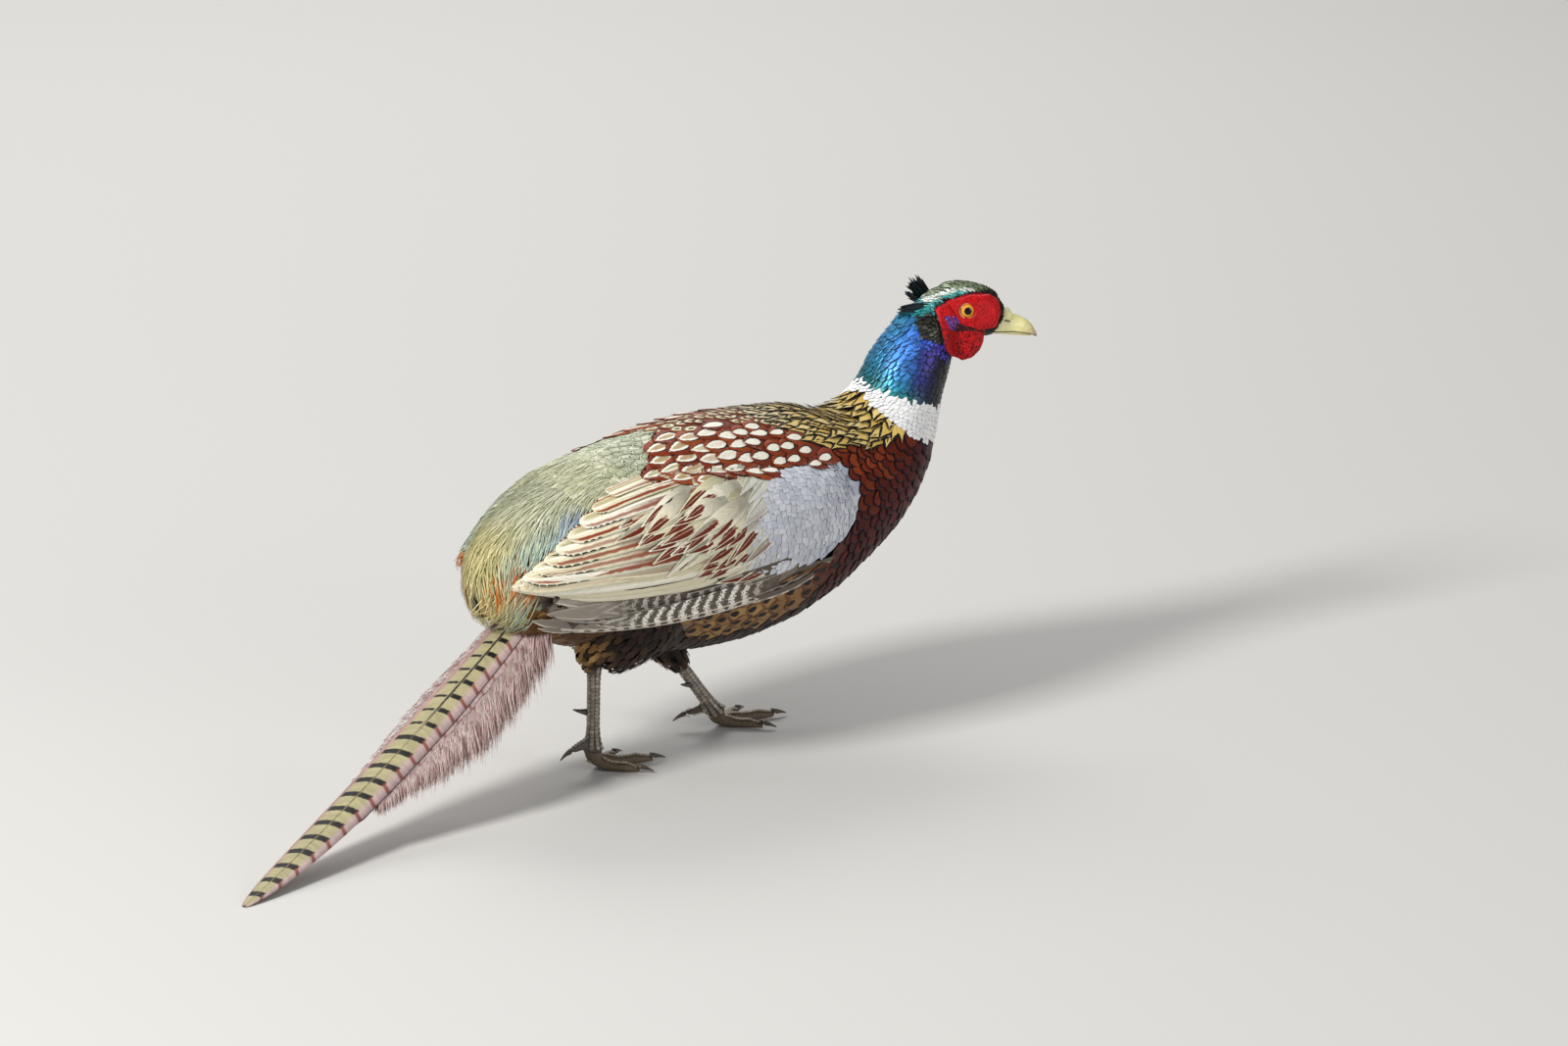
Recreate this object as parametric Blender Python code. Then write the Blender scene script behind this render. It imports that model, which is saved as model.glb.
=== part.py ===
"""Common pheasant cock, life size, walking with its head turned to its right and its tail tip on the ground.

Metres, +Z up. The trunk's length runs along X with the breast at +X, and the bird's left is +Y. The pieces
hang from the empty "pheasant", which centre_on_floor() moves so that the world's origin is the middle of the
model's box, at floor level. The head's pieces hang from "head_frame", and each foot's from its own empty.
"""

import math
from collections import namedtuple

import bmesh
import bpy
from mathutils import Matrix, Vector

GAP = 0.0003  # clearance between neighbouring pieces
WELD = 1e-6  # points closer than this are one
MOST_SHELL = 2.0  # limits how far a sharp corner moves out as a cutter swells
ROUND = 20  # sides of the trunk and the neck
SLIM = 8  # sides of a leg or a toe
TINY = 6  # sides of a claw, a spur or an ear tuft

# Trunk and neck: centre line, pitch and yaw in degrees, half width, and height above and below the line.
Station = namedtuple("Station", "x y z pitch yaw width up down")
TRUNK = [
    Station(-0.144, 0.0, 0.1255, 10, 0, 0.007, 0.009, 0.009),
    Station(-0.135, 0.0, 0.1275, 14, 0, 0.023, 0.0275, 0.026),
    Station(-0.111, 0.0, 0.1305, 14, 0, 0.039, 0.0445, 0.041),
    Station(-0.070, 0.0, 0.1340, 12, 0, 0.055, 0.0605, 0.0585),
    Station(-0.020, 0.0, 0.1370, 8, 0, 0.0645, 0.0720, 0.0705),
    Station(0.038, 0.0, 0.1370, 6, 0, 0.068, 0.0780, 0.0740),
    Station(0.088, 0.0, 0.1395, 12, 0, 0.066, 0.0745, 0.0680),
    Station(0.130, 0.0, 0.1480, 24, 0, 0.0600, 0.0680, 0.0540),
    Station(0.160, -0.001, 0.1595, 40, 0, 0.0520, 0.0600, 0.0455),
    Station(0.1815, -0.002, 0.1750, 58, 0, 0.0410, 0.0430, 0.0380),
]
NECK = [
    TRUNK[-1],
    Station(0.1930, -0.003, 0.1905, 68, -4, 0.0330, 0.0305, 0.0320),
    Station(0.2010, -0.0045, 0.2055, 74, -10, 0.0285, 0.0265, 0.0275),
    Station(0.2080, -0.007, 0.2220, 76, -18, 0.0265, 0.0260, 0.0255),
    Station(0.2165, -0.0095, 0.2375, 68, -24, 0.0220, 0.0220, 0.0215),
    Station(0.2260, -0.0105, 0.2500, 54, -30, 0.0172, 0.0180, 0.0165),
    Station(0.2350, -0.0140, 0.2570, 40, -32, 0.0110, 0.0110, 0.0110),
]
BREAST_FULLNESS = 0.82  # the breast's lower half is rounder than an ellipse
TRUNK_RINGS, NECK_RINGS = 15, 9

# Head: head_frame sits midway between the eyes, with its X towards the bill.
HEAD_PLACE = Vector((0.2496, -0.0134, 0.2535))
HEAD_YAW, HEAD_PITCH = -32.5, 12.0
HEAD = [
    Station(-0.0335, 0.0, -0.008, 0, 0, 0.0035, 0.0035, 0.0035),
    Station(-0.030, 0.0, -0.0075, 0, 0, 0.0105, 0.0095, 0.0095),
    Station(-0.021, 0.0, -0.0055, 0, 0, 0.0155, 0.0160, 0.0150),
    Station(-0.008, 0.0, -0.0045, 0, 0, 0.0172, 0.0188, 0.0165),
    Station(0.006, 0.0, -0.0045, 0, 0, 0.0162, 0.0190, 0.0140),
    Station(0.017, 0.0, -0.0050, 0, 0, 0.0128, 0.0172, 0.0105),
    Station(0.0235, 0.0, -0.0055, 0, 0, 0.0092, 0.0132, 0.0078),
    Station(0.0265, 0.0, -0.0060, 0, 0, 0.0045, 0.0070, 0.0040),
]
HEAD_RINGS, HEAD_SIDES = 10, 16
EYE_RADIUS, EYE_SIDE, EYE_SIDES, EYE_RINGS = 0.0073, 0.0108, 12, 7
BILL_TIP = Vector((0.0505, 0.0, -0.0128))
BILL_ROOT_X, BILL_LINE_Z, BILL_HALF_WIDTH, BILL_RINGS, BILL_POINTS = 0.0155, -0.0085, 0.0081, 8, 10
BILL_DROOP, BILL_NARROWING = 2.4, 2.2  # powers of the share of its length
BILL_POINT_WIDTH = 0.07  # share of the width that is left at the tip
BILL_LOWER_REACH = 0.90  # the lower half ends behind the upper one's tip
# How deep each half of the bill is from root to tip.
BILL_UPPER = [0.0088, 0.0094, 0.0092, 0.0076, 0.0042, 0.0010]
BILL_LOWER = [0.0044, 0.0048, 0.0048, 0.0042, 0.0024, 0.0007]
# Outline of the bare red face, in millimetres forward of and above the eye.
WATTLE = [
    (-23, 1), (-12, 6.5), (0, 12), (12, 14), (19, 11), (22, 3), (20.5, -6.5), (13.5, -8.5),
    (13.5, -18), (10, -26), (3, -30.5), (-5, -29.5), (-12, -22), (-16, -12),
]
WATTLE_INNER, WATTLE_OUTER, WATTLE_SPREAD, WATTLE_POINTS = 0.0125, 0.0176, 0.12, 18
# Shares of the outline and of the thickness, from the cushion's back to its front.
WATTLE_LAYERS = [(0.35, 0.0), (0.97, 0.1), (0.98, 0.6), (0.80, 0.95), (0.3, 1.0)]
# Beyond the first number, the cushion follows the narrowing head inwards by the second.
WATTLE_FRONT_TAPER, WATTLE_TOP_TAPER = (0.006, 0.30), (0.004, 0.18)
# Where each ear tuft starts on the head, and the way it points. The right one lies back, the left one stands.
TUFTS = {
    "right": (Vector((-0.0235, -0.0115, -0.0025)), Vector((-0.95, -0.24, 0.08))),
    "left": (Vector((-0.0225, 0.0112, 0.0)), Vector((-0.66, 0.14, 0.74))),
}
TUFT_LENGTH, TUFT_FLATNESS, TUFT_SAG = 0.020, 0.6, 0.001
TUFT_RADII = [0.0055, 0.0060, 0.0058, 0.0052, 0.0040, 0.0012]

# Folded wing: it lies on an ellipse round the trunk at x and z, between two angles above the horizon.
Band = namedtuple("Band", "x z low high width height thick")
WING = [
    Band(0.1215, 0.144, 3, 14, 0.0575, 0.062, 0.0030),
    Band(0.114, 0.143, -8, 28, 0.0615, 0.066, 0.0060),
    Band(0.095, 0.141, -15, 36, 0.0675, 0.070, 0.0085),
    Band(0.065, 0.139, -18, 39, 0.0710, 0.075, 0.0095),
    Band(0.015, 0.137, -12, 45, 0.0720, 0.078, 0.0095),
    Band(-0.035, 0.1360, -8, 54, 0.0690, 0.072, 0.0090),
    Band(-0.078, 0.1340, -5, 53, 0.0610, 0.061, 0.0080),
    Band(-0.107, 0.1310, 0, 42, 0.0485, 0.050, 0.0065),
    Band(-0.126, 0.1290, 8, 31, 0.0385, 0.040, 0.0050),
    Band(-0.136, 0.1275, 16, 24, 0.0315, 0.036, 0.0030),
]
PRIMARIES = [
    Band(0.062, 0.1390, -24, -16, 0.0675, 0.0735, 0.0025),
    Band(0.030, 0.1370, -27, -10, 0.0685, 0.0745, 0.0035),
    Band(-0.010, 0.1365, -29, -6, 0.0680, 0.0730, 0.0040),
    Band(-0.050, 0.1350, -31, -4, 0.0630, 0.0660, 0.0040),
    Band(-0.086, 0.1320, -29, 0, 0.0545, 0.0570, 0.0035),
    Band(-0.109, 0.1300, -24, 5, 0.0465, 0.0490, 0.0030),
    Band(-0.121, 0.1290, -14, 0, 0.0415, 0.0440, 0.0018),
]
WING_RINGS, WING_POINTS, PRIMARIES_RINGS, PRIMARIES_POINTS = 12, 7, 9, 5
BAND_EDGE, BAND_FULLNESS = 0.12, 0.6  # share of the thickness at the edges, and how fast it grows inwards

# Tail: it curves from its root in the rump to its tip on the ground.
TAIL_ROOT = Vector((-0.098, -0.001, 0.118))
TAIL_BEND = Vector((-0.235, -0.025, 0.031))
TAIL_TIP = Vector((-0.3985, -0.1015, 0.0006))
# Shares of the length, and there the half width of the middle pair and of the whole tail.
TAIL_ROWS = [
    (0.00, 0.0095, 0.0195), (0.15, 0.0115, 0.0250), (0.28, 0.0125, 0.0290), (0.42, 0.0125, 0.0245),
    (0.55, 0.0120, 0.0175), (0.70, 0.0108, 0.0125), (0.85, 0.0090, 0.0091), (0.95, 0.0062, 0.0063),
    (1.00, 0.0022, 0.0023),
]
TAIL_SIDE_REACH = 0.66  # the outer feathers end before the middle pair does
TAIL_ROOF, TAIL_HANG = 0.24, 4.0  # the slope beside the ridge, and how fast the edges droop further out
TAIL_RIDGE, TAIL_EDGE = 0.005, 0.25  # radius of the ridge, and the share of the thickness left at the edges
TAIL_THICK, TAIL_SIDE_THICK, TAIL_STEP = 0.0022, 0.0040, 0.0016
TAIL_THINNING, TAIL_SIDE_THINNING, TAIL_STEP_THINNING = 0.6, 0.8, 0.5  # what each loses on the way to its tip
TAIL_SIDE_NARROWING, TAIL_SIDE_CURVE, TAIL_PARTING = 0.75, 4, 0.0004
TAIL_RINGS, TAIL_SIDE_RINGS, TAIL_POINTS, TAIL_SIDE_POINTS = 14, 10, 7, 6

# sleeve is how far down the shank the thigh's feathers reach.
Leg = namedtuple("Leg", "side hip hock foot heading sleeve")
LEGS = [
    Leg("right", Vector((-0.022, -0.034, 0.104)), Vector((-0.0655, -0.022, 0.0760)),
        Vector((-0.0640, -0.018, 0.0130)), -14, 0.04),
    Leg("left", Vector((0.000, 0.030, 0.098)), Vector((0.018, 0.014, 0.0635)),
        Vector((0.0555, 0.004, 0.0085)), -10, 0.36),
]
THIGH_RADII = [0.022, 0.0245, 0.0250, 0.0240, 0.0220, 0.0190, 0.0155, 0.0120, 0.0092, 0.0066]
THIGH_SIDES, THIGH_BEND, THIGH_LIFT = 14, 0.55, 0.002
SHANK_RADIUS, HOCK_RADIUS, PAD_RADIUS, SHANK_RINGS = 0.0042, 0.0062, 0.0078, 11
HOCK_SHARE, PAD_SHARE = 0.25, 0.28  # how much of the shank its two swollen ends take up
Toe = namedtuple("Toe", "name turn length root tip")
TOES = [
    Toe("inner", 38, 0.031, 0.0046, 0.0032),
    Toe("middle", 0, 0.043, 0.0050, 0.0034),
    Toe("outer", -36, 0.032, 0.0046, 0.0032),
]
TOE_START = 0.004  # how far behind the foot's middle the toes begin
TOE_RINGS, TOE_FLATNESS, TOE_POINT = 8, 0.82, 0.55
TOE_PAD, TOE_PADS = 0.00045, 3  # how far the pads stand out, and how many there are
TOE_RISE, TOE_LOW = 0.4, 0.0055  # the share of a toe that climbs to the shank, and its height before it does
HALLUX_LENGTH, HALLUX_TURN, HALLUX_RADII = 0.018, 14, [0.0036, 0.0036, 0.0034, 0.0032, 0.0029, 0.0016]
HALLUX_PLACE, HALLUX_RAISE, HALLUX_DROP = 0.10, 0.0015, 0.005
CLAW_LENGTH, CLAW_RADIUS, CLAW_RINGS, CLAW_TAPER = 0.0105, 0.0024, 4, 0.85
CLAW_DROP, CLAW_HEIGHT, CLAW_INSET = 0.22, 0.0042, 0.0025
HIND_CLAW_DROP, HIND_CLAW_HEIGHT, HIND_CLAW_INSET = 0.45, 0.0006, 0.0022
SPUR_LENGTH, SPUR_RADIUS, SPUR_PLACE, SPUR_RINGS = 0.013, 0.0032, 0.42, 6
SPUR_INWARD, SPUR_RISE = 0.35, 0.0022


def clear_scene():
    for thing in list(bpy.data.objects):
        bpy.data.objects.remove(thing)


def material(name, colour, roughness, metallic=0.0):
    made = bpy.data.materials.new(name)
    made.use_nodes = True
    shader = made.node_tree.nodes["Principled BSDF"]
    shader.inputs["Base Color"].default_value = (*colour, 1.0)
    shader.inputs["Roughness"].default_value = roughness
    shader.inputs["Metallic"].default_value = metallic
    made.diffuse_color = (*colour, 1.0)
    return made


def add_empty(name, parent=None, location=(0, 0, 0), rotation=(0, 0, 0)):
    empty = bpy.data.objects.new(name, None)
    bpy.context.scene.collection.objects.link(empty)
    empty.parent = parent
    empty.location = location
    empty.rotation_euler = rotation
    return empty


def add_object(name, bm, look, parent, location=(0, 0, 0), rotation=(0, 0, 0)):
    bmesh.ops.remove_doubles(bm, verts=bm.verts, dist=WELD)
    bmesh.ops.triangulate(bm, faces=bm.faces)
    bmesh.ops.recalc_face_normals(bm, faces=bm.faces)
    mesh = bpy.data.meshes.new(name)
    bm.to_mesh(mesh)
    bm.free()
    mesh.materials.append(look)
    mesh.shade_smooth()
    thing = bpy.data.objects.new(name, mesh)
    bpy.context.scene.collection.objects.link(thing)
    thing.parent = parent
    thing.location = location
    thing.rotation_euler = rotation
    return thing


def catmull(rows, share):
    """A smooth value at share 0 to 1 along rows of numbers, which it passes through."""
    place = share * (len(rows) - 1)
    i = min(int(place), len(rows) - 2)
    t = place - i
    a, b, c, d = (rows[min(max(k, 0), len(rows) - 1)] for k in (i - 1, i, i + 1, i + 2))
    return [
        0.5 * (2 * q + (r - p) * t + (2 * p - 5 * q + 4 * r - s) * t * t + (3 * q - p - 3 * r + s) * t**3)
        for p, q, r, s in zip(a, b, c, d)
    ]


def smooth(rows, count):
    """Rows of one namedtuple, or of tuples, as count rows on a smooth curve through them."""
    kind = type(rows[0])
    made = [catmull(rows, k / (count - 1)) for k in range(count)]
    return [kind(*row) for row in made] if hasattr(kind, "_fields") else made


def shares(count):
    return [k / (count - 1) for k in range(count)]


def loop_edges(verts):
    own = set(verts)
    return list({edge for vert in verts for edge in vert.link_edges if edge.other_vert(vert) in own})


def loft(rings):
    """A closed body through rings of as many points each, with flat ends."""
    bm = bmesh.new()
    loops = []
    for points in rings:
        verts = bmesh.ops.create_circle(bm, cap_ends=False, segments=len(points), radius=1.0)["verts"]
        for vert, point in zip(verts, points):
            vert.co = point
        loops.append(verts)
    for first, second in zip(loops, loops[1:]):
        bmesh.ops.bridge_loops(bm, edges=loop_edges(first) + loop_edges(second))
    for end in (loops[0], loops[-1]):
        bm.faces.new(end)
    return bm


def axes_of(pitch, yaw):
    """Forward, left and up of a section that looks along pitch and yaw in degrees."""
    p, y = math.radians(pitch), math.radians(yaw)
    forward = Vector((math.cos(p) * math.cos(y), math.cos(p) * math.sin(y), math.sin(p)))
    left = Vector((-math.sin(y), math.cos(y), 0.0))
    return forward, left, forward.cross(left)


def body_ring(station, sides=ROUND, fullness=1.0, shift=0.0):
    """A section: an ellipse above its line, and a fuller one below it."""
    forward, left, up = axes_of(station.pitch, station.yaw)
    centre = Vector((station.x, station.y, station.z)) + forward * shift
    points = []
    for k in range(sides):
        angle = 2 * math.pi * k / sides
        across, height = math.cos(angle), math.sin(angle)
        if height < 0:
            across = math.copysign(abs(across) ** fullness, across)
        reach = station.up if height > 0 else station.down
        points.append(centre + left * across * station.width + up * height * reach)
    return points


def tube(centres, radii, sides, flatness=1.0):
    """A body round a path, each ring square to it. flatness is a ring's height as a share of its width."""
    rings = []
    for k, (centre, radius) in enumerate(zip(centres, radii)):
        ahead = centres[min(k + 1, len(centres) - 1)] - centres[max(k - 1, 0)]
        forward = ahead.normalized()
        guide = Vector((0, 0, 1)) if abs(forward.z) < 0.85 else Vector((1, 0, 0))
        left = guide.cross(forward).normalized()
        up = forward.cross(left)
        turns = [2 * math.pi * i / sides for i in range(sides)]
        rings.append([centre + (left * math.cos(a) + up * math.sin(a) * flatness) * radius for a in turns])
    return loft(rings)


def along(points, count):
    """count points on a smooth path through points."""
    return [Vector(row) for row in smooth([tuple(p) for p in points], count)]


def swollen(thing, by=GAP):
    """A helper copy whose surface stands out by the clearance, for cutting a neighbour."""
    bm = bmesh.new()
    bm.from_mesh(thing.data)
    bm.normal_update()
    moves = [(v, v.normal * by * min(v.calc_shell_factor(), MOST_SHELL)) for v in bm.verts]
    for vert, move in moves:
        vert.co += move
    mesh = bpy.data.meshes.new(thing.name + "_cutter")
    bm.to_mesh(mesh)
    bm.free()
    cutter = bpy.data.objects.new(mesh.name, mesh)
    bpy.context.scene.collection.objects.link(cutter)
    cutter.parent = thing.parent
    cutter.location = thing.location
    cutter.rotation_euler = thing.rotation_euler
    cutter.hide_render = True
    cutter.display_type = "WIRE"
    return cutter


def keep_largest_body(thing):
    """Drops crumbs that a cut leaves beside the piece itself."""
    bm = bmesh.new()
    bm.from_mesh(thing.data)
    waiting = set(bm.faces)
    bodies = []
    while waiting:
        stack = [waiting.pop()]
        body = []
        while stack:
            face = stack.pop()
            body.append(face)
            near = {other for edge in face.edges for other in edge.link_faces if other in waiting}
            waiting -= near
            stack.extend(near)
        bodies.append(body)
    bodies.sort(key=lambda body: sum(face.calc_area() for face in body))
    crumbs = [face for body in bodies[:-1] for face in body]
    bmesh.ops.delete(bm, geom=crumbs, context="FACES")
    bm.to_mesh(thing.data)
    bm.free()


def carve(thing, *neighbours):
    """Cuts a piece back so that it clears each neighbour."""
    for other in neighbours:
        cutter = swollen(other)
        boolean = thing.modifiers.new("clear_" + other.name, "BOOLEAN")
        boolean.operation = "DIFFERENCE"
        boolean.solver = "EXACT"
        boolean.object = cutter
        bpy.context.view_layer.update()
        graph = bpy.context.evaluated_depsgraph_get()
        cut = bpy.data.meshes.new_from_object(thing.evaluated_get(graph))
        thing.modifiers.clear()
        thing.data = cut
        bpy.data.objects.remove(cutter)
    keep_largest_body(thing)


def clip(thing, point, outward):
    """Cuts off what lies beyond a plane, and closes the cut with a flat face."""
    bm = bmesh.new()
    bm.from_mesh(thing.data)
    cut = bmesh.ops.bisect_plane(
        bm, geom=bm.verts[:] + bm.edges[:] + bm.faces[:], dist=WELD / 10,
        plane_co=point, plane_no=outward, clear_outer=True,
    )
    rim = [edge for edge in cut["geom_cut"] if isinstance(edge, bmesh.types.BMEdge)]
    if rim:
        bmesh.ops.edgenet_fill(bm, edges=rim)
    bmesh.ops.remove_doubles(bm, verts=bm.verts, dist=WELD)
    bmesh.ops.triangulate(bm, faces=bm.faces)
    bmesh.ops.recalc_face_normals(bm, faces=bm.faces)
    bm.to_mesh(thing.data)
    bm.free()


def flatten_sole(thing):
    """Ends a piece at floor level, which leaves it a small flat to rest on."""
    clip(thing, Vector((0, 0, -thing.location.z)), Vector((0, 0, -1)))


def build_trunk_and_neck(root, looks):
    """One form from rump to throat, parted by a thin cut where the neck begins."""
    rings = [body_ring(row, fullness=BREAST_FULLNESS) for row in smooth(TRUNK, TRUNK_RINGS)]
    trunk = add_object("trunk", loft(rings), looks["plumage"], root)
    rings = []
    for share, row in zip(shares(NECK_RINGS), smooth(NECK, NECK_RINGS)):
        fullness = BREAST_FULLNESS + (1 - BREAST_FULLNESS) * share
        rings.append(body_ring(row, fullness=fullness, shift=0 if share else GAP))
    return trunk, add_object("neck", loft(rings), looks["neck"], root)


def build_eye(side, sign, parent, look):
    bm = bmesh.new()
    bmesh.ops.create_uvsphere(bm, u_segments=EYE_SIDES, v_segments=EYE_RINGS, radius=EYE_RADIUS)
    place = (0.0, sign * EYE_SIDE, 0.0)
    return add_object("eye_" + side, bm, look, parent, place, (math.pi / 2, 0, 0))


def build_wattle(side, sign, parent, look):
    """A cushion with the bare face's outline, further out where it hangs below the cheek."""
    outline = smooth(WATTLE + WATTLE[:1], WATTLE_POINTS + 1)[:-1]
    middle = [sum(row[i] for row in outline) / len(outline) for i in (0, 1)]
    rings = []
    for share, lift in WATTLE_LAYERS:
        ring = []
        for row in outline:
            ahead, above = ((middle[i] + (row[i] - middle[i]) * share) / 1000 for i in (0, 1))
            taper = sum(
                max(0.0, place - start) * slope
                for place, (start, slope) in ((ahead, WATTLE_FRONT_TAPER), (above, WATTLE_TOP_TAPER))
            )
            out = WATTLE_INNER + (WATTLE_OUTER - WATTLE_INNER) * lift - above * WATTLE_SPREAD - taper
            ring.append(Vector((ahead, sign * out, above)))
        rings.append(ring)
    return add_object("wattle_" + side, loft(rings), look, parent)


def build_bill(parent, look):
    """Upper and lower halves that taper to the tip and meet on the gape line."""
    pieces = []
    halves = (("bill_upper", BILL_UPPER, 1.0, 1), ("bill_lower", BILL_LOWER, BILL_LOWER_REACH, -1))
    for name, depths, reach, way in halves:
        rings = []
        for share, (depth,) in zip(shares(BILL_RINGS), smooth([(d,) for d in depths], BILL_RINGS)):
            x = (BILL_TIP.x - BILL_ROOT_X) * share * reach
            line = (BILL_TIP.z - BILL_LINE_Z) * share**BILL_DROOP - (GAP if way < 0 else 0)
            width = BILL_HALF_WIDTH * (1 - (1 - BILL_POINT_WIDTH) * share**BILL_NARROWING)
            angles = [math.pi * t for t in shares(BILL_POINTS)]
            rings.append([Vector((x, width * math.cos(a), line + way * depth * math.sin(a))) for a in angles])
        pieces.append(add_object(name, loft(rings), look, parent, (BILL_ROOT_X, 0, BILL_LINE_Z)))
    return pieces


def build_ear_tuft(side, parent, look):
    """A short blunt flattened tuft behind the ear."""
    place, way = TUFTS[side]
    tip = way.normalized() * TUFT_LENGTH
    path = along([Vector(), tip / 2 - Vector((0, 0, TUFT_SAG)), tip], len(TUFT_RADII))
    return add_object("ear_tuft_" + side, tube(path, TUFT_RADII, TINY, TUFT_FLATNESS), look, parent, place)


def build_band(name, rows, count, points, sign, parent, look):
    """A curved lens that lies on the trunk's side."""
    rings = []
    for row in smooth(rows, count):
        outer, inner = [], []
        for share in shares(points):
            angle = math.radians(row.low + (row.high - row.low) * share)
            half = row.thick * (BAND_EDGE + math.sin(math.pi * share) ** BAND_FULLNESS) / 2
            for stack, side in ((outer, half), (inner, -half)):
                across = (row.width + side) * math.cos(angle)
                stack.append(Vector((row.x, sign * across, row.z + (row.height + side) * math.sin(angle))))
        rings.append(outer + inner[::-1])
    return add_object(name, loft(rings), look, parent)


def tail_frame(share):
    """Centre from the root, left and up of the tail at a share of its length."""
    bend, tip = TAIL_BEND - TAIL_ROOT, TAIL_TIP - TAIL_ROOT
    centre = bend * 2 * share * (1 - share) + tip * share**2
    forward = (bend * (1 - share) + (tip - bend) * share).normalized()
    left = Vector((0, 0, 1)).cross(-forward).normalized()
    return centre, left, left.cross(forward).normalized()


def tail_widths(share):
    for low, high in zip(TAIL_ROWS, TAIL_ROWS[1:]):
        if share <= high[0]:
            t = (share - low[0]) / (high[0] - low[0])
            return [p + (q - p) * t for p, q in zip(low[1:], high[1:])]
    return TAIL_ROWS[-1][1:]


def tail_ring(share, edges, thick, below, points):
    """A bent strip across the tail, between two edges in metres from the ridge, under it by below."""
    centre, left, up = tail_frame(share)
    upper, lower = [], []
    for t in shares(points):
        across = edges[0] + (edges[1] - edges[0]) * t
        sag = TAIL_ROOF * (math.hypot(across, TAIL_RIDGE) - TAIL_RIDGE) + TAIL_HANG * across**2
        body = thick * (TAIL_EDGE + (1 - TAIL_EDGE) * math.sin(math.pi * t))
        top = centre + left * across - up * (sag + below)
        upper.append(top)
        lower.append(top - up * body)
    return upper + lower[::-1]


def build_tail(parent, look):
    rings = []
    for share in shares(TAIL_RINGS):
        half = tail_widths(share)[0]
        thick = TAIL_THICK * (1 - TAIL_THINNING * share)
        rings.append(tail_ring(share, (-half, half), thick, 0.0, TAIL_POINTS))
    pieces = [add_object("tail_middle", loft(rings), look, parent, TAIL_ROOT)]
    for side, sign in (("right", -1), ("left", 1)):
        rings = []
        for part in shares(TAIL_SIDE_RINGS):
            share = TAIL_SIDE_REACH * part
            reach = tail_widths(share)[1] * (1 - TAIL_SIDE_NARROWING * part**TAIL_SIDE_CURVE)
            edges = (sign * TAIL_PARTING, sign * (TAIL_PARTING + reach))
            thick = TAIL_SIDE_THICK * (1 - TAIL_SIDE_THINNING * part)
            below = TAIL_STEP * (1 - TAIL_STEP_THINNING * share)
            rings.append(tail_ring(share, edges, thick, below, TAIL_SIDE_POINTS))
        pieces.append(add_object("tail_" + side, loft(rings), look, parent, TAIL_ROOT))
    return pieces


def build_thigh(leg, parent, look):
    """The feathered drumstick, from inside the flank to a sleeve round the top of the shank."""
    hock, foot = leg.hock - leg.hip, leg.foot - leg.hip
    bend = hock * THIGH_BEND + Vector((0, 0, THIGH_LIFT))
    path = along([Vector(), bend, hock, hock.lerp(foot, leg.sleeve)], len(THIGH_RADII))
    return add_object("thigh_" + leg.side, tube(path, THIGH_RADII, THIGH_SIDES), look, parent, leg.hip)


def build_shank(leg, parent, look):
    foot = leg.foot - leg.hock
    radii = []
    for share in shares(SHANK_RINGS):
        swell = (HOCK_RADIUS - SHANK_RADIUS) * max(0.0, 1 - share / HOCK_SHARE)
        swell += (PAD_RADIUS - SHANK_RADIUS) * max(0.0, (share - 1 + PAD_SHARE) / PAD_SHARE) ** 1.5
        radii.append(SHANK_RADIUS + swell)
    path = along([Vector(), foot / 2, foot], SHANK_RINGS)
    shank = add_object("shank_" + leg.side, tube(path, radii, SLIM), look, parent, leg.hock)
    clip(shank, Vector((0, 0, foot.z + GAP)), Vector((0, 0, -1)))
    return shank


def build_toe(name, toe, foot_height, neighbours, parent, turn, look):
    """A toe with swollen joints along its own X, flat underneath, and clipped where it meets the others."""
    centres, radii = [], []
    for share in shares(TOE_RINGS):
        radius = toe.root + (toe.tip - toe.root) * share + TOE_PAD * math.cos(share * TOE_PADS * 2 * math.pi)
        if share == 1:
            radius *= TOE_POINT
        height = radius * TOE_FLATNESS + (foot_height - TOE_LOW) * max(0.0, 1 - share / TOE_RISE) ** 1.5
        centres.append(Vector((toe.length * share - TOE_START * (1 - share), 0, height)))
        radii.append(radius)
    made = add_object(name, tube(centres, radii, SLIM), look, parent, (0, 0, 0), (0, 0, math.radians(turn)))
    flatten_sole(made)
    clip(made, Vector((0, 0, foot_height)), Vector((0, 0, 1)))
    for other in neighbours:
        half = math.radians(other - turn) / 2
        outward = Vector((-math.sin(half), math.cos(half), 0)) * math.copysign(1, half)
        clip(made, -outward * GAP / 2, outward)
    return made


def build_claw(name, place, parent, look, turn, drop):
    """A short curved horn along its own X, which bends down to its tip."""
    path = [Vector((CLAW_LENGTH * t, 0, -CLAW_LENGTH * drop * t**2)) for t in shares(CLAW_RINGS)]
    radii = [CLAW_RADIUS * (1 - CLAW_TAPER * t) for t in shares(CLAW_RINGS)]
    return add_object(name, tube(path, radii, TINY), look, parent, place, (0, 0, turn))


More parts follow.
